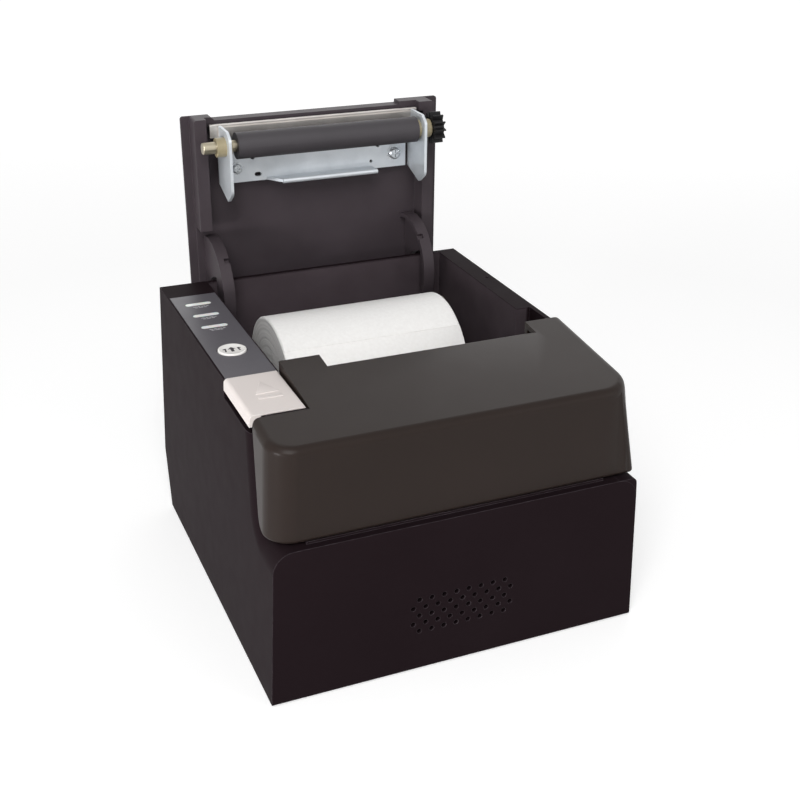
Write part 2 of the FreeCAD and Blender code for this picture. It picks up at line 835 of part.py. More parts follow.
def make_cover():
    far = half_base + BEYOND
    none = dim(0)
    deck_left = bay_left + s.cover_gap
    deck_low = s.rail_low + s.cover_gap
    apron = cover_profile("cover_apron", none, (-far, far))
    deck = cover_deck("cover_deck", none, (deck_left, far), deck_low)
    front_view = tapered("cover_front", none, s.ledge_height, s.cover_crest + 1, (-half_depth, half_depth))
    block = common("cover_block", fuse("cover_whole", apron, deck), front_view)
    front = s.ledge_depth - half_depth

    def upright(edge):
        low = edge.BoundBox
        return near(low.YMin, front) and near(low.YMax, front) and low.XLength < low.ZLength

    def left_upright(edge):
        return upright(edge) and edge.BoundBox.XMax < 0

    def right_upright(edge):
        return upright(edge) and edge.BoundBox.XMin > 0

    block = rounded("cover_corners", block, (left_upright, s.cover_corner), (right_upright, s.cover_corner_right))

    def top_edge(edge):
        low = edge.BoundBox
        high = low.ZMin > s.cover_front_top.value - 0.5
        side = low.XMin > half_at(s.cover_crest).value - 12 or low.XMax < 12 - half_at(s.cover_crest).value
        run = near(low.YMin, front) and near(low.YMax, front) and low.XLength > 50
        return high and (run or (side and low.YLength > 3 and low.ZLength < 8))

    def bottom_edge(edge):
        low = edge.BoundBox
        return near(low.ZMax, s.ledge_height + s.seat_rib) and near(low.YMin, front)

    block = rounded("cover_soft", block, (top_edge, s.cover_edge), (bottom_edge, s.cover_bullnose))

    inner_apron = cover_profile("cover_inner_apron", s.cover_wall, (-far, far))
    inner_deck = cover_deck("cover_inner_deck", s.cover_wall, (deck_left + s.cover_wall, far), deck_low - BEYOND)
    inner_front = tapered(
        "cover_inner_front", s.cover_wall, s.ledge_height - BEYOND, s.cover_crest + 1, (-half_depth, half_depth)
    )
    inner = common("cover_inner", fuse("cover_inner_whole", inner_apron, inner_deck), inner_front)

    def inner_upright(edge):
        low = edge.BoundBox
        inside = front + s.cover_wall
        return near(low.YMin, inside) and near(low.YMax, inside) and low.XLength < low.ZLength

    def inner_left(edge):
        return inner_upright(edge) and edge.BoundBox.XMax < 0

    def inner_right(edge):
        return inner_upright(edge) and edge.BoundBox.XMin > 0

    inner = rounded(
        "cover_inner_corners",
        inner,
        (inner_left, s.cover_corner - s.cover_wall),
        (inner_right, s.cover_corner_right - s.cover_wall),
    )
    notch = prism("cover_notch", "X", [
        (s.notch_front, s.cover_crest + 2),
        (s.notch_front, s.cover_crest - 0.9),
        (s.notch_rear, s.cover_crest - s.notch_drop - 0.4),
        (s.notch_rear, deck_low - 1),
        (s.cover_rear + 1, deck_low - 1),
        (s.cover_rear + 1, s.cover_crest + 2),
    ], (s.notch_left, s.notch_right))
    keep(cut("front_cover", block, inner, notch))


# Control strip
def make_controls():
    label = label_box("label_sheet", s.case_top)
    holes = [rod("label_feed_hole", "Z", (strip_middle, s.feed_place), s.feed_radius + s.feed_gap,
                 (strip_under, s.case_top + 1))]
    for index, y in enumerate(lamp_places()):
        holes.append(lamp(f"label_slot_{index}", y, s.lamp_gap, (strip_under, s.case_top + 1)))
    keep(cut("control_label", label, *holes))

    bars = []
    for index, y in enumerate(lamp_places()):
        bars.append(lamp(f"lamp_bar_{index}", y, dim(0), (board_top, s.case_top)))
    keep(group("led_light_bars", *bars))

    board_x = (strip_middle - s.board_width / 2, strip_middle + s.board_width / 2)
    plate = box("control_plate", board_x, (s.board_front, s.board_rear), (board_low, board_top))
    stem_low = strip_under - s.feed_travel - s.feed_flange_depth - s.feed_stem_drop
    touch_top = stem_low - s.feed_travel - s.feed_gap
    spot = (strip_middle, s.feed_place)
    touch = box(
        "touch_switch",
        (strip_middle - s.touch_half, strip_middle + s.touch_half),
        (s.feed_place - s.touch_half, s.feed_place + s.touch_half),
        (board_top - 0.2, touch_top),
    )
    keep(fuse("control_board", plate, touch))

    flange_top = strip_under - s.feed_gap
    cap = rod("feed_cap", "Z", spot, s.feed_radius, (flange_top - 0.5, s.case_top + s.feed_proud))
    flange = rod("feed_rim", "Z", spot, s.feed_flange, (flange_top - s.feed_flange_depth, flange_top))
    stem = rod("feed_stem", "Z", spot, s.feed_stem, (stem_low, flange_top - 0.5))
    solid = fuse("feed_solid", cap, flange, stem)

    def crown(edge):
        low = edge.BoundBox
        return near(low.ZMin, s.case_top + s.feed_proud) and low.XLength > 5

    keep(rounded("feed_button", solid, (crown, s.feed_proud * 0.8)))


def make_release():
    low = s.case_top + s.push_proud - s.push_height
    high = s.case_top + s.push_proud
    right = bay_left - s.push_gap
    cap = prism("push_cap", "Y", [
        (-half_at(low), low),
        (right, low),
        (right, high, dim(0.8)),
        (-half_at(high), high, s.push_round),
    ], (s.push_front, s.push_rear))
    stem_x = (strip_middle - s.stem_width / 2, strip_middle + s.stem_width / 2)
    stem_y = (s.stem_place - s.stem_width / 2, s.stem_place + s.stem_width / 2)
    stem = box("push_stem", stem_x, stem_y, (s.latch_arm_top + s.push_gap, low + 1))
    keep(fuse("push_button", cap, stem))

    platen_y = s.hinge_y - s.platen_along
    platen_z = s.hinge_z + s.platen_up
    latch_right = frame_left() - s.frame_ear_gap - 0.6
    latch_x = (latch_right - s.latch_thickness, latch_right)
    nose = platen_y - s.shaft_radius - s.latch_nose_gap
    hook = prism("latch_hook", "X", [
        (s.latch_y - 3.5, s.latch_z - 3.5, dim(3)),
        (s.latch_y + 4.5, s.latch_z - 3.5, dim(3)),
        (nose - 1.2, platen_z - 5),
        (nose - 2.4, platen_z),
        (nose, platen_z + 2.2),
        (nose - 2, platen_z + 4.5),
        (nose - 6, platen_z + 3.5),
        (s.latch_y - 3.5, s.latch_z + 5),
    ], latch_x, holes=[(s.latch_y, s.latch_z, s.latch_pin_radius + s.run_gap)])
    arm_low = s.latch_arm_top - s.latch_arm_depth
    arm = box("latch_arm", (stem_x[0] - 1, latch_x[1]), stem_y, (arm_low, s.latch_arm_top))
    web = prism("latch_web", "X", [
        (stem_y[0], arm_low),
        (s.latch_y - 3.0, s.latch_z - 2),
        (s.latch_y + 2.0, s.latch_z + 5),
        (stem_y[1], s.latch_arm_top),
        (stem_y[0], s.latch_arm_top),
    ], latch_x)
    bore = rod("latch_bore", "X", (s.latch_y, s.latch_z), s.latch_pin_radius + s.run_gap,
               (latch_x[0] - 1, latch_x[1] + 1))
    keep(cut("latch_lever", fuse("latch_solid", hook, web, arm), bore))
    pin = rod("latch_rod", "X", (s.latch_y, s.latch_z), s.latch_pin_radius, (latch_x[0] - 1, frame_left()))
    collar = rod("latch_collar", "X", (s.latch_y, s.latch_z), s.latch_pin_radius + 1,
                 (latch_x[0] - 1.8, latch_x[0] - 0.3))
    keep(fuse("latch_pin", pin, collar))


# Paper
def make_paper():
    middle = (s.roll_y, s.roll_z)
    span = (s.roll_left, s.roll_left + s.roll_length)
    roll = rod("roll_solid", "X", middle, s.roll_radius, span)
    eye = rod("roll_eye", "X", middle, s.core_radius, (span[0] - 1, span[1] + 1))
    keep(cut("paper_roll", roll, eye))
    core = rod("core_solid", "X", middle, s.core_radius, span)
    bore = rod("core_hole", "X", middle, s.core_bore, (span[0] - 1, span[1] + 1))
    keep(cut("roll_core", core, bore))

    outside = rear_inside - s.bucket_gap - s.roll_y
    inside = outside - s.bucket_wall
    centre_z = s.roll_z - s.roll_radius - s.roll_gap + inside
    spot = (s.roll_y, centre_z)
    reach = (bay_left, bay_right)
    drum = rod("bucket_drum", "X", spot, outside, reach)
    front = box(
        "bucket_front",
        reach,
        (s.roll_y - outside, s.roll_y - inside + 1),
        (centre_z, s.bucket_front_top),
    )
    scoop = rod("bucket_scoop", "X", spot, inside, (bay_left + s.bucket_wall, bay_right - s.bucket_wall))
    far = s.roll_radius * 2
    top = box("bucket_top", (bay_left - 1, bay_right + 1), (s.roll_y - inside, s.roll_y + far),
              (s.bucket_end_top, centre_z + far))
    rear_top = box("bucket_rear_top", (bay_left - 1, bay_right + 1), (s.roll_y, s.roll_y + far),
                   (s.bucket_end_top, centre_z + far))
    front_top = box("bucket_front_cut", (bay_left - 1, bay_right + 1), (s.roll_y - far, s.roll_y + far),
                    (s.bucket_front_top, centre_z + far))
    keep(cut("paper_bucket", fuse("bucket_solid", drum, front), scoop, top, rear_top, front_top))


# Printing mechanism
def ear_left():
    """Inner face of the bracket's left ear."""
    return s.platen_left - s.ear_gap_left


def ear_right():
    """Inner face of the bracket's right ear."""
    return s.platen_left + s.platen_length + s.ear_gap_right


def frame_left():
    """Inner face of the chassis's left side."""
    return ear_left() - s.sheet - s.frame_ear_gap


def frame_right():
    """Inner face of the chassis's right side."""
    return ear_right() + s.sheet + s.frame_ear_gap


def make_mechanism():
    platen_y = s.hinge_y - s.platen_along
    platen_z = s.hinge_z + s.platen_up
    notch = s.bush_radius + s.frame_bush_gap
    side = [
        (s.frame_front, s.frame_floor),
        (s.frame_rear, s.frame_floor),
        (s.frame_rear, s.frame_top - 8),
        (platen_y + notch + 3, s.frame_top),
        (platen_y + notch, s.frame_top),
        (platen_y + notch, platen_z - notch, notch * 0.9),
        (platen_y - notch, platen_z - notch, notch * 0.9),
        (platen_y - notch, s.frame_top),
        (s.frame_front, s.frame_top),
    ]
    left_x = (frame_left() - s.frame_sheet, frame_left())
    right_x = (frame_right(), frame_right() + s.frame_sheet)
    left = prism("frame_side_left", "X", side, left_x)
    right = prism("frame_side_right", "X", side, right_x)
    floor = box("frame_plate", (left_x[0], right_x[1]), (s.frame_front, s.frame_rear),
                (s.frame_floor, s.frame_floor + s.frame_sheet))
    front = box("frame_front_wall", (left_x[0], right_x[1]), (s.frame_front, s.frame_front + s.frame_sheet),
                (s.frame_floor, s.frame_top))
    motor = (s.feed_motor_y, s.feed_motor_z)
    idler = idler_spot()
    holes = [
        rod("frame_shaft_hole", "X", motor, s.motor_shaft_radius + 0.5, (right_x[0] - 1, right_x[1] + 1)),
        rod("frame_stud_hole", "X", idler, s.stud_radius, (right_x[0] - 1, right_x[1] + 1)),
        rod("frame_latch_hole", "X", (s.latch_y, s.latch_z), s.latch_pin_radius, (left_x[0] - 1, left_x[1] + 1)),
    ]
    keep(cut("print_frame", fuse("frame_solid", left, right, floor, front), *holes))

    face = platen_y - s.platen_radius - s.head_gap
    span = (s.platen_left, s.platen_left + s.platen_length)
    keep(prism("thermal_head", "X", [
        (face - s.head_thickness, s.head_low),
        (face, s.head_low, dim(0.6)),
        (face, s.head_high, dim(0.6)),
        (face - s.head_thickness, s.head_high),
    ], span))
    back = face - s.head_thickness
    sink = box("sink_block", span, (back - s.sink_thickness, back), (s.sink_low, s.head_high))
    slots = []
    fins = 9
    pitch = s.platen_length / fins
    for index in range(fins - 1):
        x = s.platen_left + pitch * (index + 1)
        slots.append(box(f"sink_slot_{index}", (x - s.sink_fin, x + s.sink_fin),
                         (back - s.sink_thickness - 1, back - 2), (s.sink_low - 1, s.head_high + 1)))
    keep(cut("head_heat_sink", sink, *slots))
    spring_middle = (span[0] + span[1]) / 2
    spring_x = (spring_middle - s.spring_width / 2, spring_middle + s.spring_width / 2)
    spring_back = s.frame_front + s.frame_sheet
    spring_high = s.head_high - s.spring_drop
    spring_low = spring_high - s.spring_fall
    sink_back = back - s.sink_thickness
    keep(prism("head_spring", "X", [
        (spring_back, spring_low),
        (sink_back, spring_high),
        (sink_back, spring_high + s.spring_sheet),
        (spring_back, spring_low + s.spring_sheet),
    ], spring_x))

    cutter_x = (left_x[0] + s.cutter_side, right_x[1] - s.cutter_side)
    bed = box("cutter_bed", cutter_x, (s.cutter_front, s.cutter_rear), (s.cutter_low, s.cutter_high))
    groove = box("cutter_pit", (cutter_x[0] + 8, cutter_x[1] - 8), (s.cutter_front + 3, s.cutter_rear - 6),
                 (s.cutter_high - 1.6, s.cutter_high + 1))
    seat = box("cutter_seat", (left_x[0], right_x[1]), (s.frame_front, s.cutter_rear),
               (s.frame_top, s.cutter_low))
    keep(cut("cutter_frame", fuse("cutter_solid", bed, seat), groove))
    blade_x = (span[0] - s.moving_blade_side, span[1] + s.moving_blade_side)
    middle = (blade_x[0] + blade_x[1]) / 2
    keep(prism("moving_blade", "Z", [
        (blade_x[0], s.moving_blade_rear - s.moving_blade_depth),
        (blade_x[1], s.moving_blade_rear - s.moving_blade_depth),
        (blade_x[1], s.moving_blade_rear),
        (middle, s.moving_blade_rear - 2.5),
        (blade_x[0], s.moving_blade_rear),
    ], (s.moving_blade_low, s.moving_blade_low + s.moving_blade_thickness)))

    spot = (s.cutter_motor_y, s.cutter_motor_z)
    start = s.cutter_motor_left
    can = rod("cutter_can", "X", spot, s.cutter_motor_radius, (start, start + s.cutter_motor_length))
    boss = rod("cutter_boss", "X", spot, s.cutter_motor_radius / 3,
               (start + s.cutter_motor_length, start + s.cutter_motor_length + 3))
    leg = box("cutter_leg", (start + 4, start + 12), (s.cutter_motor_y - 3, s.cutter_motor_y + 3),
              (s.frame_floor + s.frame_sheet, s.cutter_motor_z - s.cutter_motor_radius + 2))
    keep(fuse("cutter_motor", can, boss, leg))

    end = frame_right()
    can = rod("feed_can", "X", motor, s.feed_motor_radius, (end - s.feed_motor_length, end))
    shaft = rod("feed_axle", "X", motor, s.motor_shaft_radius, (end - 1, end + s.frame_sheet + s.gear_gap))
    keep(fuse("feed_motor", can, shaft))

    gear_x = end + s.frame_sheet + s.gear_gap
    pinion_phase = s.mesh_angle
    idler_phase = s.mesh_angle + 180 + 180 / s.idler_teeth
    bore = s.stud_radius + s.run_gap
    keep(group("motor_pinion", gear("pinion_wheel", s.pinion_teeth, dim(0), gear_x, motor, pinion_phase)))
    keep(group("idler_gear", gear("idler_wheel", s.idler_teeth, bore, gear_x, idler, idler_phase)))
    pin = rod("idler_rod", "X", idler, s.stud_radius, (end, gear_x + s.gear_width + 0.8))
    flange = rod("idler_flange", "X", idler, s.stud_radius + 1.5,
                 (gear_x + s.gear_width + 0.3, gear_x + s.gear_width + 1.3))
    keep(fuse("idler_stud", pin, flange))


def idler_spot():
    reach = s.tooth_module * (s.pinion_teeth + s.idler_teeth) / 2 + s.gear_backlash
    across, upward = polar(reach, s.mesh_angle)
    return s.feed_motor_y + across, s.feed_motor_z + upward


def gear(name, teeth, bore, start, spot, phase):
    """Spur gear along X, made from a root disc and a ring of straight-sided teeth."""
    pitch = s.tooth_module * teeth / 2
    foot = pitch - s.tooth_module * 1.25
    tip = pitch + s.tooth_module * 0.9
    body = doc.addObject("PartDesign::Body", name)
    disc = sketch_in(body, name + "_disc", "X")
    ring(disc, 0, 0, foot)
    if bore.value > 0:
        ring(disc, 0, 0, bore)
    pad(body, disc, name + "_disc_pad", "X", (dim(0), s.gear_width))
    tooth = sketch_in(body, name + "_tooth", "X")
    outline(tooth, [
        (foot - 0.4, -0.85 * s.tooth_module),
        (tip, -0.28 * s.tooth_module),
        (tip, 0.28 * s.tooth_module),
        (foot - 0.4, 0.85 * s.tooth_module),
    ])
    tooth_pad = pad(body, tooth, name + "_tooth_pad", "X", (dim(0), s.gear_width))
    doc.recompute()
    pattern = body.newObject("PartDesign::PolarPattern", name + "_teeth")
    pattern.Originals = [tooth_pad]
    pattern.Axis = (tooth, ["N_Axis"])
    pattern.Angle = 360
    pattern.Occurrences = int(round(teeth.value))
    body.Tip = pattern
    turn = FreeCAD.Rotation(FreeCAD.Vector(1, 0, 0), phase.value)
    body.Placement = FreeCAD.Placement(FreeCAD.Vector(), turn)
    place(body, start, *spot)
    return body


# Lid, drawn round its hinge with the lid shut: Y runs back from the hinge, Z up from it
def lid_relief():
    """Radius about the hinge that the casing's rear top edge needs."""
    back = half_depth - s.hinge_y
    up = s.case_top - s.hinge_z
    return root(back * back + up * up) + s.hinge_relief


def make_lid():
    left = bay_left + s.lid_gap
    right = bay_right - s.lid_gap
    rear = half_depth - s.hinge_y
    front = -s.lid_front
    under = s.lid_top - s.lid_depth
    plate_under = s.lid_top - s.lid_plate
    flange_under = s.case_top + s.flange_gap - s.hinge_z
    wide_left = left - s.flange_left
    wide_right = right + s.flange_right

    def plan(name, low_x, high_x, span):
        """The lid's outline seen from above, between two sides."""
        return prism(name, "Z", [
            (low_x, rear),
            (low_x, front, s.lid_round),
            (left + s.tab_left, front),
            (left + s.tab_left + s.lid_lip, front + s.lid_lip),
            (right - s.tab_right, front + s.lid_lip),
            (right - s.tab_right, front),
            (high_x, front, s.lid_round),
            (high_x, rear),
        ], span)

    def top_edge(edge):
        low = edge.BoundBox
        return near(low.ZMin, s.lid_top) and near(low.ZMax, s.lid_top)

    cap = plan("lid_cap", wide_left, wide_right, (flange_under, s.lid_top))
    soft = rounded("lid_soft", cap, (top_edge, s.lid_round))
    skirt = plan("lid_skirt", left, right, (under, flange_under))
    block = fuse("lid_block", soft, skirt)
    recess = box(
        "lid_recess",
        (left + s.lid_border, right - s.lid_border),
        (front + s.lid_lip + s.lid_plate, rear + 1),
        (under - 1, plate_under),
    )
    mouth = box(
        "lid_mouth",
        (left + s.lid_border, ear_right() + s.sheet + s.blade_past_right + s.blade_room),
        (front - 1, front + BEYOND),
        (under - 1, s.lid_top - s.lid_front_wall),
    )
    arm_seat = box(
        "lid_arm_seat",
        (left - 1, left + s.lid_border + 1),
        (-s.border_end, rear + 1),
        (under - 1, plate_under),
    )
    relief = rod("lid_relief", "X", (0, 0), lid_relief(), (wide_left - 1, wide_right + 1))
    shell = cut("lid_shell", block, recess, mouth, arm_seat, relief)
    bosses = []
    holes = []
    for index, x in enumerate((s.bracket_screw_left, s.bracket_screw_right)):
        spot = (x, -s.bracket_screw_along)
        bosses.append(rod(f"lid_boss_{index}", "Z", spot, s.boss_radius, (s.bracket_up, plate_under + 0.5)))
        holes.append(rod(f"lid_boss_hole_{index}", "Z", spot, s.screw_radius, (s.bracket_up - 1, plate_under - 0.5)))
    keep_on_lid(cut("lid_cover", fuse("lid_solid", shell, *bosses), *holes))

    arms = []
    outer_left = left + s.arm_inset_left
    outer_right = right - s.arm_inset_right
    arms.append(hinge_arm("left", outer_left, outer_left + s.arm_thickness, outer_left + s.arm_rim))
    arms.append(hinge_arm("right", outer_right, outer_right - s.arm_thickness, outer_right - s.arm_rim))
    keep_on_lid(group("hinge_arms", *arms))

    pins = []
    for side, start, end in (
        ("left", bay_left - s.bay_wall, outer_left + s.arm_thickness),
        ("right", outer_right - s.arm_thickness, bay_right + s.bay_wall),
    ):
        pins.append(rod(f"hinge_pin_{side}", "X", (s.hinge_y, s.hinge_z), s.hinge_pin_radius, (start, end)))
    keep(group("hinge_pins", *pins))


def hinge_arm(side, outer, plate, rim):
    """Quarter-round arm: a plate with a rim, a hub at the hinge and a detent notch in the rim."""
    plate_under = s.lid_top - s.lid_plate
    full = (outer, rim) if outer.value < rim.value else (rim, outer)
    hollow = (plate, rim + 1) if outer.value < rim.value else (rim - 1, plate)
    solid = (outer, plate) if outer.value < plate.value else (plate, outer)
    wide = (full[0] - 1, full[1] + 1)
    spot = (-s.arm_along, s.arm_up)
    far = s.arm_reach * 3
    disc = rod(f"arm_disc_{side}", "X", spot, s.arm_reach, full)
    pocket = rod(f"arm_pocket_{side}", "X", spot, s.arm_reach - s.arm_rim_depth, hollow)
    field = box(f"arm_field_{side}", full, (-far, dim(0)), (-far, plate_under))
    lobe = common(f"arm_lobe_{side}", cut(f"arm_dish_{side}", disc, pocket), field)
    sweep = rod(f"arm_sweep_{side}", "X", (0, 0), lid_relief() + s.arm_room, wide)
    over = box(f"arm_over_{side}", wide, (-far, far), (s.hub_radius, far))
    sector = cut(f"arm_sector_{side}", lobe, common(f"arm_room_{side}", sweep, over))
    hub = rod(f"arm_hub_{side}", "X", (0, 0), s.hub_radius, solid)
    bore = rod(f"arm_bore_{side}", "X", (0, 0), s.hinge_pin_radius + s.run_gap, wide)
    notch = []
    for radius, angle in (
        (s.arm_reach - s.detent_depth, s.detent_angle - s.detent_half),
        (s.arm_reach + 1, s.detent_angle - s.detent_half),
        (s.arm_reach + 1, s.detent_angle + s.detent_half),
        (s.arm_reach - s.detent_depth, s.detent_angle + s.detent_half),
    ):
        back, rise = polar(radius, angle)
        notch.append((spot[0] + back, spot[1] + rise))
    inner = (rim - s.detent_width, rim + 1) if outer.value < rim.value else (rim - 1, rim + s.detent_width)
    detent = prism(f"arm_detent_{side}", "X", notch, inner)
    return cut(f"arm_{side}", fuse(f"arm_body_{side}", sector, hub), bore, detent)


def make_platen():
    spot = (-s.platen_along, s.platen_up)
    left_ear = (ear_left() - s.sheet, ear_left())
    right_ear = (ear_right(), ear_right() + s.sheet)
    sheet_under = s.bracket_up - s.sheet
    side = [
        (-s.bracket_far, s.bracket_up),
        (-s.bracket_far, s.platen_up - 3),
        (-s.platen_along - 4, -s.ear_low, dim(2)),
        (-s.bracket_near, -s.ear_low, dim(3)),
        (-s.ear_tip, s.ear_tip_up, dim(1)),
        (-s.bracket_near, s.bracket_up),
    ]
    ears = [prism("ear_left_sheet", "X", side, left_ear), prism("ear_right_sheet", "X", side, right_ear)]
    back = box("bracket_back", (left_ear[0], right_ear[1]), (-s.bracket_far, -s.bracket_near),
               (sheet_under, s.bracket_up))
    guide_low = sheet_under - s.guide_depth
    guide = prism("bracket_guide", "Y", [
        (s.guide_left, s.bracket_up),
        (s.guide_left, sheet_under),
        (s.guide_left + s.guide_slant, guide_low),
        (s.guide_right, guide_low),
        (s.guide_right, s.bracket_up),
    ], (-s.bracket_near - s.sheet, -s.bracket_near))
    hem_spot = (-s.bracket_near - s.sheet / 2, guide_low)
    hem = rod("guide_hem", "X", hem_spot, s.guide_hem, (s.guide_left + s.guide_slant, s.guide_right))
    through = (sheet_under - 1, s.bracket_up + 1)
    holes = [rod("bush_hole", "X", spot, s.bush_radius, (left_ear[0] - 1, right_ear[1] + 1))]
    for index, x in enumerate((s.bracket_screw_left, s.bracket_screw_right)):
        holes.append(rod(f"bracket_hole_{index}", "Z", (x, -s.bracket_screw_along), s.screw_radius, through))
    for index, x in enumerate((s.gauge_left, s.gauge_right)):
        holes.append(rod(f"gauge_hole_{index}", "Z", (x, -s.gauge_along), s.gauge_radius, through))
    holes.append(rod("pip_hole", "Z", (s.pip_place, -s.pip_along), s.pip_radius, through))
    oval_x = (s.oval_place - s.oval_length / 2, s.oval_place + s.oval_length / 2)
    oval_y = (-s.oval_along - s.oval_width / 2, -s.oval_along + s.oval_width / 2)
    oval_end = s.oval_width * 0.47
    oval_corners = [(x, y, oval_end) for x, y in zip(
        (oval_x[0], oval_x[1], oval_x[1], oval_x[0]),
        (oval_y[0], oval_y[0], oval_y[1], oval_y[1]),
    )]
    holes.append(prism("oval_hole", "Z", oval_corners, through))
    slot_y = (-s.bracket_near - s.ear_slot_length, -s.bracket_near + 1)
    holes.append(box("ear_slot", (ear_right() - s.ear_slot_width, ear_right()), slot_y, through))
    blade_y = (-blade_edge, -blade_edge + s.blade_width)
    blade_z = (sheet_under - s.blade_thickness, sheet_under)
    blade_x = (left_ear[0] - s.blade_past_left, right_ear[1] + s.blade_past_right)
    clamp_y = (blade_y[0] + s.clamp_setback, blade_y[0] + s.clamp_setback + s.clamp_width)
    clamp_z = (blade_z[0] - s.clamp_thickness, blade_z[0])
    holes.append(box("blade_notch", blade_x, (blade_y[0] - 1, blade_y[1]), blade_z))
    holes.append(box("clamp_notch", (left_ear[0] - 1, right_ear[1] + 1), (blade_y[0] - 1, clamp_y[1]), clamp_z))
    keep_on_lid(cut("platen_bracket", fuse("bracket_solid", back, guide, hem, *ears), *holes))

    strip = box("blade_strip", blade_x, blade_y, blade_z)
    clamp = box("blade_clamp", (left_ear[0], right_ear[1]), clamp_y, clamp_z)

    def cutting_edge(edge):
        low = edge.BoundBox
        return near(low.YMax, -blade_edge) and near(low.ZMax, blade_z[0]) and low.XLength > low.ZLength

    ground = rounded("blade_ground", strip, (cutting_edge, s.blade_thickness * 0.25))
    keep_on_lid(fuse("fixed_blade", ground, clamp))

    bushes = []
    for name, low, high in (
        ("left", ear_left() + s.bush_inner - s.bush_length, ear_left() + s.bush_inner),
        ("right", ear_right() - s.bush_inner, ear_right() - s.bush_inner + s.bush_length),
    ):
        barrel = rod(f"bush_barrel_{name}", "X", spot, s.bush_radius, (low, high))
        bore = rod(f"bush_bore_{name}", "X", spot, s.shaft_radius + s.run_gap, (low - 1, high + 1))
        bushes.append(cut(f"bush_{name}", barrel, bore))
    keep_on_lid(group("platen_bushings", *bushes))

    screws = []
    for index, x in enumerate((s.bracket_screw_left, s.bracket_screw_right)):
        where = (x, -s.bracket_screw_along)
        head = rod(f"bracket_head_{index}", "Z", where, s.screw_head, (sheet_under - s.screw_head_depth, sheet_under))
        shank = rod(f"bracket_shank_{index}", "Z", where, s.screw_radius, (sheet_under - 1, s.bracket_up + s.bracket_screw_grip))
        screws.append(fuse(f"bracket_screw_{index}", head, shank))
    keep_on_lid(group("bracket_screws", *screws))

    span = (s.platen_left, s.platen_left + s.platen_length)
    sleeve = rod("rubber_sleeve", "X", spot, s.platen_radius, span)
    eye = rod("rubber_eye", "X", spot, s.shaft_radius, (span[0] - 1, span[1] + 1))
    keep_on_lid(cut("platen_rubber", sleeve, eye))
    bar = rod("shaft_bar", "X", spot, s.shaft_radius, (s.shaft_left, s.shaft_right))

    def bar_end(edge):
        return edge.BoundBox.XLength < 0.01

    keep_on_lid(rounded("platen_shaft", bar, (bar_end, s.shaft_radius * 0.25)))
    gear_x = frame_right() + s.frame_sheet + s.gear_gap
    wheel = gear("platen_wheel", s.platen_teeth, s.shaft_radius, gear_x, spot, dim(0))
    keep_on_lid(group("platen_gear", wheel))


# Boards and rear sockets
def socket_spots():
    return {
        "power_inlet": (s.inlet_place, s.inlet_width),
        "usb_socket": (s.usb_place, s.usb_width),
        "drawer_socket": (s.drawer_place, s.drawer_width),
        "switch": (s.switch_place, s.switch_width),
    }


def socket_low():
    return s.main_board_height + s.main_board_thickness


def socket_windows():
    low = socket_low()
    windows = []
    for name, (x, width) in socket_spots().items():
        windows.append(box(
            f"window_{name}",
            (x - width / 2, x + width / 2),
            (rear_inside - 1, half_depth + 1),
            (low, low + s.socket_height),
        ))
    return windows


def make_boards():
    plate = box("main_plate", (s.main_board_left, s.main_board_right), (s.main_board_front, s.main_board_rear),
                (s.main_board_height, socket_low()))
    keep(group("main_board", plate))
    low = socket_low()
    rear = half_depth - s.socket_inset
    for name, (x, width) in socket_spots().items():
        span_x = (x - width / 2, x + width / 2)
        span_z = (low, low + s.socket_height)
        mouth_x = (span_x[0] + s.socket_wall, span_x[1] - s.socket_wall)
        mouth_z = (low + s.socket_wall, span_z[1] - s.socket_wall)
        block = box(name + "_block", span_x, (s.socket_front, rear), span_z)
        mouth_y = (rear - s.socket_depth, rear + 1)
        if name == "power_inlet":
            middle_z = low + s.socket_height / 2
            mouth = rod("inlet_mouth", "Y", (x, middle_z), s.socket_height / 2 - s.socket_wall, mouth_y)
            keep(cut(name, block, mouth))
            continue
        mouth = box(name + "_mouth", mouth_x, mouth_y, mouth_z)
        if name == "switch":
            pivot = (rear - s.rocker_pivot, low + s.socket_height / 2)
            pin_x = (mouth_x[0] - s.rocker_pin_length, mouth_x[1] + s.rocker_pin_length)
            bearing = rod("rocker_bearing", "X", pivot, s.rocker_pin_radius + s.run_gap,
                          (pin_x[0] - s.run_gap, pin_x[1] + s.run_gap))
            keep(cut("power_switch_body", block, mouth, bearing))
            key = make_key(pivot[1], rear, mouth_x, mouth_z)
            keep(fuse("power_rocker", key, rod("rocker_pin", "X", pivot, s.rocker_pin_radius, pin_x)))
        else:
            keep(cut(name, block, mouth))


def make_key(middle, rear, mouth_x, mouth_z):
    """Tipping key of the rear switch, pressed in at the bottom."""
    gap = s.rocker_gap
    reach = (mouth_z[1] - mouth_z[0]) / 2 - gap - 0.6
    return prism("rocker_key", "X", [
        (rear - 4.5, middle - 1.5),
        (rear - 2.2, middle - reach),
        (rear - 1.4, middle - reach),
        (rear - 0.9, middle),
        (rear + 0.2, middle + reach),
        (rear - 1.4, middle + reach),
        (rear - 4.5, middle + 1.5),
    ], (mouth_x[0] + gap, mouth_x[1] - gap))


make_housing()
make_base()
make_cover()
make_controls()
make_release()
make_paper()
make_mechanism()
make_lid()
make_platen()
make_boards()
doc.recompute()

for obj in doc.Objects:
    if "Invalid" in obj.State or "Error" in obj.State:
        raise RuntimeError(f"{obj.Name} did not build: {obj.State}")
for obj in nodes:
    if obj.Shape.isNull() or not obj.Shape.isValid():
        raise RuntimeError(f"{obj.Label} is not a valid solid")
os.makedirs("parts", exist_ok=True)
for obj in nodes:
    obj.Shape.exportStep(f"parts/{obj.Label}.step")
    print(f"{obj.Label}: {len(obj.Shape.Solids)} solid(s), {obj.Shape.Volume:.0f} cubic mm")
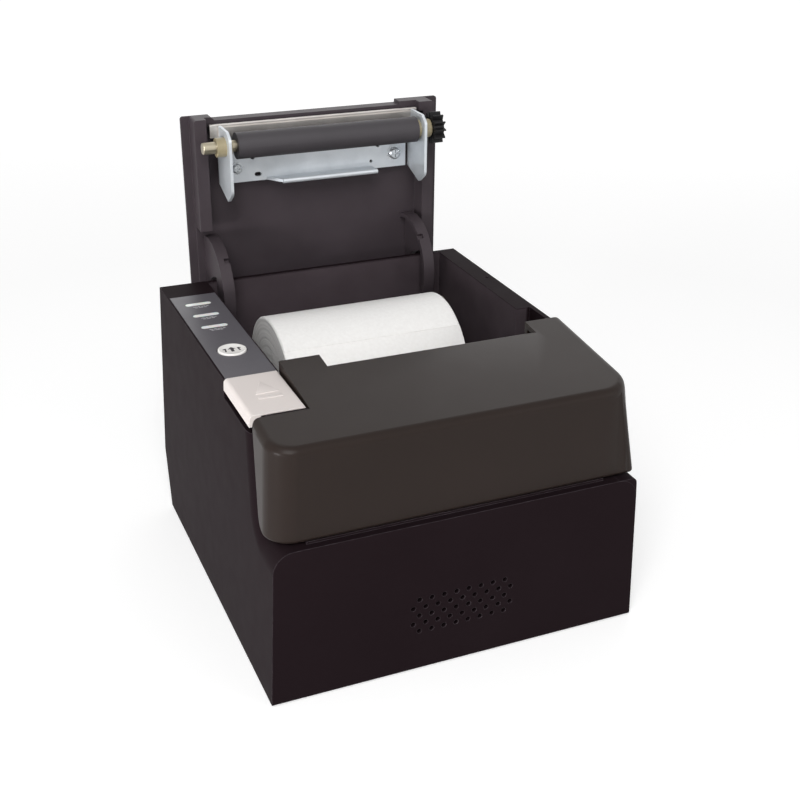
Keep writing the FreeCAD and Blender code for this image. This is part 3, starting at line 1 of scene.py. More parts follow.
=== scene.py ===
# %% [markdown]
# # A receipt printer with its lid open
# The CAD model gives every piece its size and place. This lesson dresses it: each solid gets the
# finish of the real material, and the small pieces that a moulder, a printer or a screw maker adds
# are modelled here. Everything is in metres, in the CAD model's own frame.

import math

import bmesh
import bpy
from mathutils import Matrix, Vector


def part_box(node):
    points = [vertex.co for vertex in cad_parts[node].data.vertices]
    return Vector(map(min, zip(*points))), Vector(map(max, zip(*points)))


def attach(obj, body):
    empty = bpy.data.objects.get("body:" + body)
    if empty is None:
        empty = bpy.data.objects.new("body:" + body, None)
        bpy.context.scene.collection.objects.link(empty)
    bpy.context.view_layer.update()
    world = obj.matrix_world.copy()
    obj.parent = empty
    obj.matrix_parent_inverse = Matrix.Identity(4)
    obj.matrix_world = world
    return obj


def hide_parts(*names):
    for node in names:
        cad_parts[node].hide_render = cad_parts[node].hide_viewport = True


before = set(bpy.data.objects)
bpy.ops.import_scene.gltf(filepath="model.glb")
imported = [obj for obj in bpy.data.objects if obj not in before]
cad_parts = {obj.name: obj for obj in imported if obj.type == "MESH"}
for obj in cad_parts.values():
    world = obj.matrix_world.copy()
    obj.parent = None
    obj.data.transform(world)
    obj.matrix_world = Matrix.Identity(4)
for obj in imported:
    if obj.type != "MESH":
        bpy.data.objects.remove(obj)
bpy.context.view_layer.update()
scene = bpy.context.scene
MM = 0.001
print("CAD nodes:", len(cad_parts))

# %% [markdown]
# ## Camera
# The camera was fitted to the straight edges of the casing. It stands in front of the printer, a
# little to the left, and looks down on it. A lens of about 55 mm on a 36 mm sensor gives the same
# convergence of the edges as the photograph, so the picture needs no shift.

# %% Place the camera
AZIMUTH = math.radians(-23.016)
ELEVATION = math.radians(25.874)
ROLL = math.radians(0.44)
TARGET = Vector((8.65, -8.65, 69.93)) * MM
DISTANCE = 501.0 * MM

back = Vector((
    math.sin(AZIMUTH) * math.cos(ELEVATION),
    -math.cos(AZIMUTH) * math.cos(ELEVATION),
    math.sin(ELEVATION),
))
right = Vector((math.cos(AZIMUTH), math.sin(AZIMUTH), 0.0))
up = back.cross(right)
tilted_right = right * math.cos(ROLL) + up * math.sin(ROLL)
tilted_up = up * math.cos(ROLL) - right * math.sin(ROLL)

camera = bpy.data.objects.new("camera", bpy.data.cameras.new("camera"))
camera.data.sensor_width = 36.0
camera.data.lens = 55.45
camera.data.clip_start = 0.01
camera.matrix_world = Matrix((
    (tilted_right.x, tilted_up.x, back.x, TARGET.x + back.x * DISTANCE),
    (tilted_right.y, tilted_up.y, back.y, TARGET.y + back.y * DISTANCE),
    (tilted_right.z, tilted_up.z, back.z, TARGET.z + back.z * DISTANCE),
    (0.0, 0.0, 0.0, 1.0),
))
scene.collection.objects.link(camera)
scene.camera = camera
scene.view_settings.view_transform = "Standard"
print("camera at", [round(v, 4) for v in camera.matrix_world.translation])

# %% [markdown]
# ## Building blocks for finishes
# A shader is a small graph. One function adds a node, sets its properties and its sockets, and makes
# a link wherever a socket is given another node's output. Colours are written as sRGB hex, as a paint
# chart gives them, and one function turns them into the linear values that the renderer works with.


# %% Helpers for materials
def linear(hex_colour):
    """sRGB hex to the linear colour that a socket takes."""
    channels = [int(hex_colour[i:i + 2], 16) / 255 for i in (1, 3, 5)]
    straight = [c / 12.92 if c <= 0.04045 else ((c + 0.055) / 1.055) ** 2.4 for c in channels]
    return (*straight, 1.0)


def add(tree, kind, inputs=None, **settings):
    """Adds a node; inputs are socket names or numbers with a value or another node's output."""
    made = tree.nodes.new(kind)
    for name, value in settings.items():
        setattr(made, name, value)
    for socket, value in (inputs or {}).items():
        if isinstance(value, bpy.types.NodeSocket):
            tree.links.new(value, made.inputs[socket])
        else:
            made.inputs[socket].default_value = value
    return made


def new_finish(name, **constants):
    """A material with its shader; constants are set on the shader's own sockets."""
    material = bpy.data.materials.new(name)
    material.use_nodes = True
    tree = material.node_tree
    shader = tree.nodes["Principled BSDF"]
    for socket, value in constants.items():
        shader.inputs[socket.replace("_", " ")].default_value = value
    place = add(tree, "ShaderNodeTexCoord").outputs["Object"]
    return material, tree, shader, place


def per_metre(millimetres):
    """Texture scale that repeats a pattern once in so many millimetres."""
    return 1.0 / (millimetres * MM)


# %% [markdown]
# ## Moulded plastics
# The casing is black ABS from a spark-eroded mould: dark, slightly warm, with a grain that breaks up
# reflections. The real grain is about 0.3 mm and too fine for this picture, so it is drawn at 0.7 mm.
# A surface that coarse swallows most of a mirror-like reflection, and the casing's shine is very low
# for that reason. The lid and the front cover are the same plastic from smoother tools, and keep more
# of it. No moulding has a knife edge: a Bevel node rounds the shading of every edge by 0.4 mm, and
# where it turns the normal most, the plastic is painted paler: partly wear from handling, partly a
# painted highlight where light would catch the rounded edge.

# %% A moulded plastic
EDGE_ROUND = 0.4


def moulded(name, tones, wear_and_highlight_tone, shine, rough, grain_mm, relief):
    """Moulded plastic: two close tones, a drifting gloss, a fine grain, and edges painted paler for
    wear and as a painted highlight.
    """
    material, tree, shader, place = new_finish(name, IOR=1.53, Specular_IOR_Level=shine)
    soft = add(tree, "ShaderNodeBevel", {"Radius": EDGE_ROUND * MM}, samples=4).outputs["Normal"]
    straight = add(tree, "ShaderNodeNewGeometry").outputs["Normal"]
    turned = add(tree, "ShaderNodeVectorMath", {0: soft, 1: straight}, operation="DOT_PRODUCT")
    patchy = add(tree, "ShaderNodeTexNoise", {
        "Vector": place, "Scale": per_metre(6), "Detail": 4.0,
    })
    # painted highlight: where the Bevel node turns the normal, the edge gets the paler tone, standing
    # in for light catching the rounded edge as well as for wear
    wear_and_highlight_mask = add(tree, "ShaderNodeMapRange", {
        "Value": turned.outputs["Value"], "From Min": 1.0, "From Max": 0.75,
        "To Max": patchy.outputs["Fac"],
    })
    drift = add(tree, "ShaderNodeTexNoise", {
        "Vector": place, "Scale": per_metre(45), "Detail": 2.0,
    })
    tone = add(tree, "ShaderNodeMix", {
        "Factor": drift.outputs["Fac"], "A": linear(tones[0]), "B": linear(tones[1]),
    }, data_type="RGBA")
    wear_and_highlight_mix = add(tree, "ShaderNodeMix", {
        "Factor": wear_and_highlight_mask.outputs["Result"], "A": tone.outputs["Result"], "B": linear(wear_and_highlight_tone),
    }, data_type="RGBA")
    tree.links.new(wear_and_highlight_mix.outputs["Result"], shader.inputs["Base Color"])
    touch = add(tree, "ShaderNodeTexNoise", {
        "Vector": place, "Scale": per_metre(9), "Detail": 4.0,
    })
    gloss = add(tree, "ShaderNodeMapRange", {
        "Value": touch.outputs["Fac"], "From Min": 0.3, "From Max": 0.7,
        "To Min": rough[0], "To Max": rough[1],
    })
    tree.links.new(gloss.outputs["Result"], shader.inputs["Roughness"])
    grain = add(tree, "ShaderNodeTexNoise", {
        "Vector": place, "Scale": per_metre(grain_mm), "Detail": 2.0, "Roughness": 0.6,
    })
    bump = add(tree, "ShaderNodeBump", {
        "Height": grain.outputs["Fac"], "Strength": 0.35, "Distance": relief * MM, "Normal": soft,
    })
    tree.links.new(bump.outputs["Normal"], shader.inputs["Normal"])
    return material


# %% Black, pale and white mouldings
# Each paler edge tone below is partly wear and partly a painted highlight on the rounded edges.
black_abs = moulded(
    "grained_black_abs", ("#1a1215", "#1f171a"), wear_and_highlight_tone="#625b60",
    shine=0.017, rough=(0.50, 0.54), grain_mm=0.7, relief=0.05,
)
satin_abs = moulded(
    "satin_black_abs", ("#241d1a", "#29211e"), wear_and_highlight_tone="#4a4340",
    shine=0.105, rough=(0.34, 0.37), grain_mm=0.9, relief=0.03,
)
lid_abs = moulded(
    "lid_black_abs", ("#1f191c", "#241e21"), wear_and_highlight_tone="#4a4347",
    shine=0.14, rough=(0.46, 0.49), grain_mm=0.7, relief=0.05,
)
plain_black = moulded(
    "plain_black_nylon", ("#121112", "#171617"), wear_and_highlight_tone="#2a2829",
    shine=0.20, rough=(0.42, 0.52), grain_mm=1.2, relief=0.03,
)
# The pure white edge tone is a painted highlight, more than wear: the button's edges look as if light
# catches them.
pale_abs = moulded(
    "pale_grey_abs", ("#d6cdc9", "#dcd4d0"), wear_and_highlight_tone="#ffffff",
    shine=0.40, rough=(0.38, 0.46), grain_mm=0.6, relief=0.03,
)
white_abs = moulded(
    "white_button_abs", ("#f0ede9", "#f6f4f1"), wear_and_highlight_tone="#fbfaf8",
    shine=0.50, rough=(0.22, 0.30), grain_mm=1.5, relief=0.01,
)
print("casing plastics:", len(bpy.data.materials))

# %% [markdown]
# ## Film, bearing, ceramic, rubber and ink
# These are smooth or finely grained as well, and differ in tone and gloss, so the same function makes
# them: the label's polycarbonate film, the bushings' filled acetal, the print head's glazed ceramic,
# the feet's rubber, and the pale and dark inks of the printed marks.

# %% Other even surfaces
label_film = moulded(
    "grey_polycarbonate_film", ("#545257", "#5a575c"), wear_and_highlight_tone="#6f6c72",
    shine=0.30, rough=(0.36, 0.42), grain_mm=0.5, relief=0.02,
)
bearing_acetal = moulded(
    "filled_bearing_acetal", ("#8a7f62", "#978c70"), wear_and_highlight_tone="#b0a58a",
    shine=0.50, rough=(0.30, 0.40), grain_mm=1.0, relief=0.02,
)
ceramic = moulded(
    "glazed_ceramic", ("#cfc8b6", "#dcd6c6"), wear_and_highlight_tone="#e8e3d6",
    shine=0.50, rough=(0.22, 0.34), grain_mm=1.4, relief=0.01,
)
foot_rubber = moulded(
    "moulded_foot_rubber", ("#151515", "#1c1c1d"), wear_and_highlight_tone="#2a2a2b",
    shine=0.20, rough=(0.68, 0.82), grain_mm=0.8, relief=0.05,
)
mark_ink = moulded(
    "pale_print_ink", ("#bcbabd", "#c8c6c9"), wear_and_highlight_tone="#d2d0d3",
    shine=0.30, rough=(0.45, 0.55), grain_mm=0.6, relief=0.01,
)
icon_ink = moulded(
    "dark_print_ink", ("#3a3638", "#454144"), wear_and_highlight_tone="#504b4e",
    shine=0.30, rough=(0.40, 0.50), grain_mm=0.6, relief=0.01,
)
print("finishes so far:", len(bpy.data.materials))

# %% [markdown]
# ## Light guides
# The three lamps are milky acrylic bars. Unlit, they are white all through, so a little light should
# travel inside them: subsurface scattering over about a millimetre does that.

# %% Milky acrylic
milky, tree, shader, place = new_finish(
    "milky_acrylic", IOR=1.49, Roughness=0.22, Subsurface_Weight=0.3, Subsurface_Scale=1.0 * MM,
)
cloud = add(tree, "ShaderNodeTexNoise", {"Vector": place, "Scale": per_metre(3), "Detail": 2.0})
tone = add(tree, "ShaderNodeMix", {
    "Factor": cloud.outputs["Fac"], "A": linear("#f4f2ee"), "B": linear("#fbfaf8"),
}, data_type="RGBA")
tree.links.new(tone.outputs["Result"], shader.inputs["Base Color"])
print("made", milky.name)

# %% [markdown]
# ## Metals
# The bracket is zinc-plated sheet: pale, a little blue, with soft cloudy patches from the bath. The
# blades are ground across their width, which leaves fine straight scratches. The roller's shaft was
# turned in a lathe, so its scratches run round it. Each is a metal shader whose roughness and bump
# follow those marks, stretched by a Mapping node.


# %% A bare metal
def metal(name, tones, rough, mark_mm, relief):
    """Bare metal; mark_mm is the spacing of its marks along X, Y and Z."""
    material, tree, shader, place = new_finish(name, Metallic=1.0)
    scale = [per_metre(size) for size in mark_mm]
    stretched = add(tree, "ShaderNodeMapping", {"Vector": place, "Scale": scale})
    marks = add(tree, "ShaderNodeTexNoise", {
        "Vector": stretched.outputs["Vector"], "Scale": 1.0, "Detail": 4.0,
    })
    cloud = add(tree, "ShaderNodeTexNoise", {
        "Vector": place, "Scale": per_metre(9), "Detail": 4.0,
    })
    tone = add(tree, "ShaderNodeMix", {
        "Factor": cloud.outputs["Fac"], "A": linear(tones[0]), "B": linear(tones[1]),
    }, data_type="RGBA")
    tree.links.new(tone.outputs["Result"], shader.inputs["Base Color"])
    gloss = add(tree, "ShaderNodeMapRange", {
        "Value": marks.outputs["Fac"], "From Min": 0.3, "From Max": 0.7,
        "To Min": rough[0], "To Max": rough[1],
    })
    tree.links.new(gloss.outputs["Result"], shader.inputs["Roughness"])
    bump = add(tree, "ShaderNodeBump", {
        "Height": marks.outputs["Fac"], "Strength": 0.25, "Distance": relief * MM,
    })
    tree.links.new(bump.outputs["Normal"], shader.inputs["Normal"])
    return material


# %% Zinc, steel, aluminium and gold
zinc = metal(
    "zinc_plated_sheet", ("#bcc1c6", "#d6dade"), (0.46, 0.58), mark_mm=(2.2, 2.2, 2.2), relief=0.02,
)
ground_steel = metal(
    "ground_blade_steel", ("#bdb8b4", "#d6d2ce"), (0.36, 0.48), mark_mm=(0.4, 9.0, 9.0), relief=0.02,
)
turned_steel = metal(
    "turned_shaft_steel", ("#98907d", "#b8b09c"), (0.28, 0.40), mark_mm=(0.5, 8.0, 8.0), relief=0.02,
)
bright_zinc = metal(
    "bright_zinc_screw", ("#a9adb1", "#cdd1d4"), (0.22, 0.34), mark_mm=(1.5, 1.5, 1.5), relief=0.01,
)
aluminium = metal(
    "extruded_aluminium", ("#a5a8ab", "#bfc2c4"), (0.32, 0.46), mark_mm=(9.0, 9.0, 0.5), relief=0.02,
)
plated_can = metal(
    "plated_motor_can", ("#7f8285", "#9a9da0"), (0.34, 0.46), mark_mm=(6.0, 1.0, 1.0), relief=0.01,
)
contact_gold = metal(
    "gold_flashed_contact", ("#b99a4e", "#d8ba6a"), (0.24, 0.34), mark_mm=(2.0, 2.0, 2.0), relief=0.01,
)
# blue passivation covers the zinc with a thin clear layer that scatters light, so the sheet is less
# of a mirror than bare metal
zinc.node_tree.nodes["Principled BSDF"].inputs["Metallic"].default_value = 0.72
print("finishes so far:", len(bpy.data.materials))

# %% [markdown]
# ## Roller rubber
# The platen's sleeve is nitrile rubber, ground round: dark grey, dull, with very fine grooves round
# its length. Paper dust rubs off on it, so the tone drifts to a paler grey in soft bands.

# %% Ground nitrile rubber
roller_rubber, tree, shader, place = new_finish("ground_nitrile_rubber", IOR=1.52)
bands = add(tree, "ShaderNodeMapping", {
    "Vector": place, "Scale": (per_metre(7), per_metre(30), per_metre(30)),
})
smears = add(tree, "ShaderNodeTexNoise", {
    "Vector": bands.outputs["Vector"], "Scale": 1.0, "Detail": 4.0,
})
tone = add(tree, "ShaderNodeMix", {
    "Factor": smears.outputs["Fac"], "A": linear("#262226"), "B": linear("#343034"),
}, data_type="RGBA")
tree.links.new(tone.outputs["Result"], shader.inputs["Base Color"])
gloss = add(tree, "ShaderNodeMapRange", {
    "Value": smears.outputs["Fac"], "To Min": 0.5, "To Max": 0.7,
})
tree.links.new(gloss.outputs["Result"], shader.inputs["Roughness"])
grooves = add(tree, "ShaderNodeMapping", {"Vector": place, "Scale": (per_metre(0.6), 0.0, 0.0)})
ground = add(tree, "ShaderNodeTexNoise", {
    "Vector": grooves.outputs["Vector"], "Scale": 1.0, "Detail": 2.0,
})
bump = add(tree, "ShaderNodeBump", {
    "Height": ground.outputs["Fac"], "Strength": 0.3, "Distance": 0.04 * MM,
})
tree.links.new(bump.outputs["Normal"], shader.inputs["Normal"])
print("made", roller_rubber.name)

# %% [markdown]
# ## Paper and card
# Thermal paper is bright, smooth and matt. On the roll's ends one sees the edges of the turns: rings
# about 0.06 mm apart, too fine to show, so they are drawn 0.8 mm apart. A ring pattern needs the
# distance from the roll's axis, which the length of the Object coordinates without X gives.

# %% Wound paper, and the card of the core
roll_low, roll_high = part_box("paper_roll")
roll_centre = (roll_low + roll_high) / 2


def wound(name, tones, ring_mm, relief, rough):
    """Sheet wound round the roll's axis, with its turns showing on the ends."""
    material, tree, shader, place = new_finish(name, IOR=1.45, Roughness=rough)
    flat = add(tree, "ShaderNodeMapping", {
        "Vector": place,
        "Location": (0.0, -roll_centre.y, -roll_centre.z),
        "Scale": (0.0, 1.0, 1.0),
    })
    radius = add(tree, "ShaderNodeVectorMath", {0: flat.outputs["Vector"]}, operation="LENGTH")
    turns = add(tree, "ShaderNodeMath", {
        0: radius.outputs["Value"], 1: per_metre(ring_mm),
    }, operation="MULTIPLY")
    rings = add(tree, "ShaderNodeTexNoise", {
        "W": turns.outputs["Value"], "Scale": 1.0, "Detail": 3.0,
    }, noise_dimensions="1D")
    fibre = add(tree, "ShaderNodeTexNoise", {
        "Vector": place, "Scale": per_metre(1.4), "Detail": 4.0,
    })
    both = add(tree, "ShaderNodeMath", {
        0: rings.outputs["Fac"], 1: fibre.outputs["Fac"],
    }, operation="MULTIPLY")
    spread = add(tree, "ShaderNodeMapRange", {
        "Value": both.outputs["Value"], "From Min": 0.05, "From Max": 0.45,
    })
    tone = add(tree, "ShaderNodeMix", {
        "Factor": spread.outputs["Result"], "A": linear(tones[0]), "B": linear(tones[1]),
    }, data_type="RGBA")
    tree.links.new(tone.outputs["Result"], shader.inputs["Base Color"])
    bump = add(tree, "ShaderNodeBump", {
        "Height": rings.outputs["Fac"], "Strength": 0.4, "Distance": relief * MM,
    })
    tree.links.new(bump.outputs["Normal"], shader.inputs["Normal"])
    return material


paper = wound("thermal_paper", ("#f1efed", "#fcfbf9"), ring_mm=0.8, relief=0.08, rough=0.62)
card = wound("wound_core_card", ("#9a8363", "#b59d7a"), ring_mm=1.1, relief=0.10, rough=0.85)
print("roll axis at", [round(v / MM, 1) for v in roll_centre])

# %% [markdown]
# ## Paper dust and painted light
# The walls of the paper bay and the lid's inner side are painted paler than the outside of the same
# mouldings. Partly this is the white dust that every roll sheds; partly it is painted light, which
# brightens these inner surfaces as light falling into the bay would. Each paler place is a box: Object
# coordinates are scaled so that it reaches from -1 to 1 on each axis, and where the largest of the
# three stays below 1 the paler tone is mixed in, more and less by a noise 12 mm across.


# %% A paler place: dust and painted light
def dust_and_painted_light(material, low, high, paler_tone):
    """Mixes a paler tone into a finish inside a box: paper dust and painted light."""
    tree = material.node_tree
    place = next(node for node in tree.nodes if node.type == "TEX_COORD").outputs["Object"]
    half = (high - low) / 2
    sized = add(tree, "ShaderNodeMapping", {
        "Vector": place,
        "Location": [-(a + b) / 2 / h for a, b, h in zip(low, high, half)],
        "Scale": [1.0 / h for h in half],
    })
    apart = add(tree, "ShaderNodeVectorMath", {0: sized.outputs["Vector"]}, operation="ABSOLUTE")
    axes = add(tree, "ShaderNodeSeparateXYZ", {0: apart.outputs["Vector"]}).outputs
    flat = add(tree, "ShaderNodeMath", {0: axes["X"], 1: axes["Y"]}, operation="MAXIMUM")
    most = add(tree, "ShaderNodeMath", {
        0: flat.outputs["Value"], 1: axes["Z"],
    }, operation="MAXIMUM")
    inside = add(tree, "ShaderNodeMapRange", {
        "Value": most.outputs["Value"], "From Min": 1.0, "From Max": 0.98,
    })
    uneven_spread = add(tree, "ShaderNodeTexNoise", {
        "Vector": place, "Scale": per_metre(12), "Detail": 4.0,
    })
    even = add(tree, "ShaderNodeMapRange", {
        "Value": uneven_spread.outputs["Fac"], "To Min": 0.6, "To Max": 1.0,
    })
    paler_share = add(tree, "ShaderNodeMath", {
        0: inside.outputs["Result"], 1: even.outputs["Result"],
    }, operation="MULTIPLY")
    paint = tree.nodes["Principled BSDF"].inputs["Base Color"]
    dusted_and_lit = add(tree, "ShaderNodeMix", {
        "Factor": paler_share.outputs["Value"], "A": paint.links[0].from_socket, "B": linear(paler_tone),
    }, data_type="RGBA")
    tree.links.new(dusted_and_lit.outputs["Result"], paint)


# %% Paint the bay and the lid's inner side paler: dust and painted light
# The reaches below say how far the paler tone, paper dust and painted light, spreads past the bucket
# and the lid.
LEFT_REACH = 0.8  # the dust reaches this far past the bucket on the left
RIGHT_REACH = 0.6  # past the lid on the right
REAR_REACH = 2.5  # past the bucket at the rear
LID_SKIN = 1.2  # the lid's outer side stays clean to this depth
bucket_low, bucket_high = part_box("paper_bucket")
lid_low, lid_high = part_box("lid_cover")
casing_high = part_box("main_housing")[1]
bay_low = Vector((bucket_low.x - LEFT_REACH * MM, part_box("front_cover")[1].y, bucket_low.z))
bay_high = Vector((lid_high.x + RIGHT_REACH * MM, bucket_high.y + REAR_REACH * MM, casing_high.z))
# painted light: the bay's walls get a paler tone, as if lit inside the bay, on top of paper dust
dust_and_painted_light(black_abs, bay_low, bay_high, "#494145")
around = Vector((40.0, 40.0, 40.0)) * MM
inner_high = lid_high + around
inner_high.y = lid_high.y - LID_SKIN * MM
# painted light: the lid's inner side gets a paler tone, as if lit, on top of paper dust
dust_and_painted_light(lid_abs, lid_low - around, inner_high, "#413a3e")
for corner in (bay_low, bay_high):
    print("corner of the lightened bay at", [round(v / MM, 1) for v in corner])

# %% [markdown]
# ## Circuit board laminate
# Green solder mask over copper: a glossy dark green with slightly paler, raised tracks. A brick
# pattern with long narrow bricks stands for the tracks, 1.6 mm apart.

# %% Green laminate
board_green, tree, shader, place = new_finish("green_laminate", IOR=1.55, Roughness=0.28)
tracks = add(tree, "ShaderNodeTexBrick", {
    "Vector": place,
    "Color1": linear("#1b4631"),
    "Color2": linear("#1f5038"),
    "Mortar": linear("#2d6b4b"),
    "Scale": 1.0,
    "Mortar Size": 0.25 * MM,
    "Brick Width": 14 * MM,
    "Row Height": 1.6 * MM,
})
tree.links.new(tracks.outputs["Color"], shader.inputs["Base Color"])
bump = add(tree, "ShaderNodeBump", {
    "Height": tracks.outputs["Fac"], "Strength": 0.4, "Distance": 0.03 * MM,
})
tree.links.new(bump.outputs["Normal"], shader.inputs["Normal"])
print("made", board_green.name)

# %% [markdown]
# ## Dress the CAD solids
# Most solids already have the right shape and only need their finish. The table below says which
# finish each one gets.

# %% Give each node its finish
FINISHES = {
    black_abs: ["main_housing", "base_tray"],
    satin_abs: ["front_cover"],
    lid_abs: ["lid_cover", "hinge_arms"],
    label_film: ["control_label"],
    milky: ["led_light_bars"],
    white_abs: ["feed_button"],
    pale_abs: ["push_button"],
    board_green: ["control_board", "main_board"],
    plain_black: [
        "latch_lever", "paper_bucket", "platen_gear", "motor_pinion", "idler_gear", "power_inlet",
        "drawer_socket", "power_switch_body", "power_rocker", "cutter_frame",
    ],
    bearing_acetal: ["platen_bushings"],
    turned_steel: ["platen_shaft", "latch_pin", "hinge_pins", "idler_stud"],
    zinc: ["platen_bracket", "print_frame", "usb_socket"],
    ground_steel: ["fixed_blade", "moving_blade", "head_spring"],
    bright_zinc: ["case_screws", "bracket_screws"],
    ceramic: ["thermal_head"],
    aluminium: ["head_heat_sink"],
    plated_can: ["cutter_motor", "feed_motor"],
    foot_rubber: ["rubber_feet"],
    roller_rubber: ["platen_rubber"],
    paper: ["paper_roll"],
    card: ["roll_core"],
}
for material, names in FINISHES.items():
    for name in names:
        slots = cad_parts[name].data.materials
        slots.clear()
        slots.append(material)
print("dressed", sum(len(names) for names in FINISHES.values()), "nodes")

# %% [markdown]
# ## Tools for new pieces
# Round pieces start as a profile that is spun about an axis, as on a lathe. Raised marks start as a
# flat outline that is lifted. A last step merges the seam, turns the faces outwards, makes the object
# and lets it ride on the body that carries it.

# %% Spin and lift
WELD = 0.002 * MM  # points closer than this are one point


def lathe(shape, profile_mm, centre, axis, steps=48, closed=False):
    """Spins (along, radius) pairs in millimetres round an axis through a centre."""
    along = Vector(axis)
    out = Vector((0, 0, 1)) if along.z == 0 else Vector((1, 0, 0))
    spots = [shape.verts.new(centre + (along * a + out * r) * MM) for a, r in profile_mm]
    ends = spots[1:] + spots[:1] if closed else spots[1:]
    edges = [shape.edges.new(pair) for pair in zip(spots, ends)]
    bmesh.ops.spin(
        shape, geom=spots + edges, cent=centre, axis=along, angle=math.tau, steps=steps,
        use_merge=True,
    )


def oblong(left, low, right, high):
    """The corners of a rectangle, in turn."""
    return [(left, low), (right, low), (right, high), (left, high)]


def lift(shape, outline, height):
    """A flat outline raised by a vector into a closed solid."""
    face = shape.faces.new([shape.verts.new(corner) for corner in outline])
    grown = bmesh.ops.extrude_face_region(shape, geom=[face])["geom"]
    moved = [item for item in grown if isinstance(item, bmesh.types.BMVert)]
    bmesh.ops.translate(shape, verts=moved, vec=height)
    bmesh.ops.holes_fill(shape, edges=shape.edges)


# %% Close a shape into a piece
SHARP = math.radians(32)


def finish_piece(shape, name, material, body, stands_for=()):
    """Closes a bmesh into a piece on a body, smooth but for its sharp edges."""
    bmesh.ops.remove_doubles(shape, verts=shape.verts, dist=WELD)
    bmesh.ops.recalc_face_normals(shape, faces=shape.faces)
    mesh = bpy.data.meshes.new(name)
    shape.to_mesh(mesh)
    shape.free()
    mesh.materials.append(material)
    mesh.shade_smooth()
    mesh.set_sharp_from_angle(angle=SHARP)
    made = bpy.data.objects.new(name, mesh)
    scene.collection.objects.link(made)
    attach(made, body)
    if stands_for:
        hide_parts(*stands_for)
    print(name, "has", len(mesh.polygons), "faces")
    return made


# %% [markdown]
# ## The cover's right corner
# The round at the cover's right front corner is small at the ledge and grows upwards, as on a cone.
# The CAD solid has one even round there. So the cover's mesh is copied and cut into strips near the
# corner, and each point slides along the corner's diagonal, from the even round to the one for its
# height. On a round of radius r, a point of the sharp corner that lies w off the diagonal slides by d,
# the smaller root of 2 d^2 - 2 (2 r - w) d + (r - w)^2 = 0. Below the skin both rounds are smaller by
# the depth, so the wall keeps its thickness.

# %% Copy the cover and cut it into strips
cover_low, cover_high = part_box("front_cover")
bottom_corner = Vector((cover_high.x, cover_low.y, cover_low.z))
even_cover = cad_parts["front_cover"].data
cover = bmesh.new()
points = [cover.verts.new(vert.co) for vert in even_cover.vertices]
for face in even_cover.polygons:
    cover.faces.new([points[number] for number in face.vertices])
bmesh.ops.remove_doubles(cover, verts=cover.verts, dist=WELD)
for strip_mm in range(4, 17, 2):
    for inward in (Vector((-1, 0, 0)), Vector((0, 1, 0))):
        bmesh.ops.bisect_plane(
            cover, geom=cover.verts[:] + cover.edges[:] + cover.faces[:], dist=0.001 * MM,
            plane_co=bottom_corner + inward * strip_mm * MM, plane_no=inward,
        )
print("cover cut into", len(cover.faces), "faces")

# %% Slide the corner
EVEN_ROUND = 3.6  # the CAD solid's round
LEDGE_ROUND = 1.2
TOP_ROUND = 13.0
GROWTH = 34.0  # the round reaches its full size at this height above the ledge
LEAN = 0.0448  # the cover's and casing's sides lean in so much for each millimetre of height
RISE = 0.1055  # the cover's top rises so much for each millimetre towards the back


def slide(radius, off):
    """How far a round moves a point of the sharp corner inwards, on each axis."""
    if off >= radius:
        return 0.0
    span = 2 * radius - off
    return (span - math.sqrt(span ** 2 - 2 * (radius - off) ** 2)) / 2


for vert in cover.verts:
    away = (vert.co - bottom_corner) / MM
    from_side = -away.x - LEAN * away.z
    from_front = away.y
    depth = min(from_side, from_front)
    if max(from_side, from_front) < EVEN_ROUND:
        depth = EVEN_ROUND - math.hypot(EVEN_ROUND - from_side, EVEN_ROUND - from_front)
    height = min(away.z / GROWTH, 1.0)
    radius = LEDGE_ROUND + (TOP_ROUND - LEDGE_ROUND) * height
    off = abs(from_side - from_front)
    inwards = slide(radius - depth, off) - slide(EVEN_ROUND - depth, off)
    vert.co += Vector((-inwards, inwards, RISE * height * inwards)) * MM
shaped_cover = finish_piece(
    cover, "cone_cornered_cover", satin_abs, "base", ["front_cover"],
)
shaped_cover.modifiers.new("even_shading", "WEIGHTED_NORMAL").keep_sharp = True

# %% [markdown]
# ## The ledge's right end
# The CAD solid rounds the casing's ledge by 8 mm at both ends. At the right end the real round is much
# smaller, so a short strip fills the corner and runs back under the cover. Its inner side is sunk a
# little into the casing, and its outer side ends where the leaning wall does.

# %% Fill the ledge's right end
LEDGE = 62.5  # the ledge's height
SOLID_ROUND = 8.0
END_ROUND = 2.0
SUNK = 0.3
TOE = 0.4  # the strip starts this much above the foot of the solid's round
SET_BACK = 0.02  # from the casing's front
STRIP_DEEP = 10.9
casing_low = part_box("main_housing")[0]
ledge_side = casing_high.x / MM - LEAN * LEDGE
round_x = ledge_side - SOLID_ROUND + LEAN * SOLID_ROUND
round_z = LEDGE - SOLID_ROUND
outline = [(round_x + SOLID_ROUND, round_z + TOE)]
for step in range(7):
    turn = math.radians(15 * step)
    x = ledge_side - END_ROUND * (1 - math.cos(turn))
    outline.append((x, LEDGE - END_ROUND * (1 - math.sin(turn))))
outline.append((round_x, LEDGE))
for step in range(13):
    turn = math.radians(90 - 7.2 * step)
    reach = SOLID_ROUND - SUNK
    outline.append((round_x + reach * math.cos(turn), round_z + reach * math.sin(turn)))
strip = bmesh.new()
corners = [Vector((x * MM, casing_low.y + SET_BACK * MM, z * MM)) for x, z in outline]
lift(strip, corners, Vector((0, STRIP_DEEP * MM, 0)))
finish_piece(strip, "ledge_end_strip", black_abs, "base")

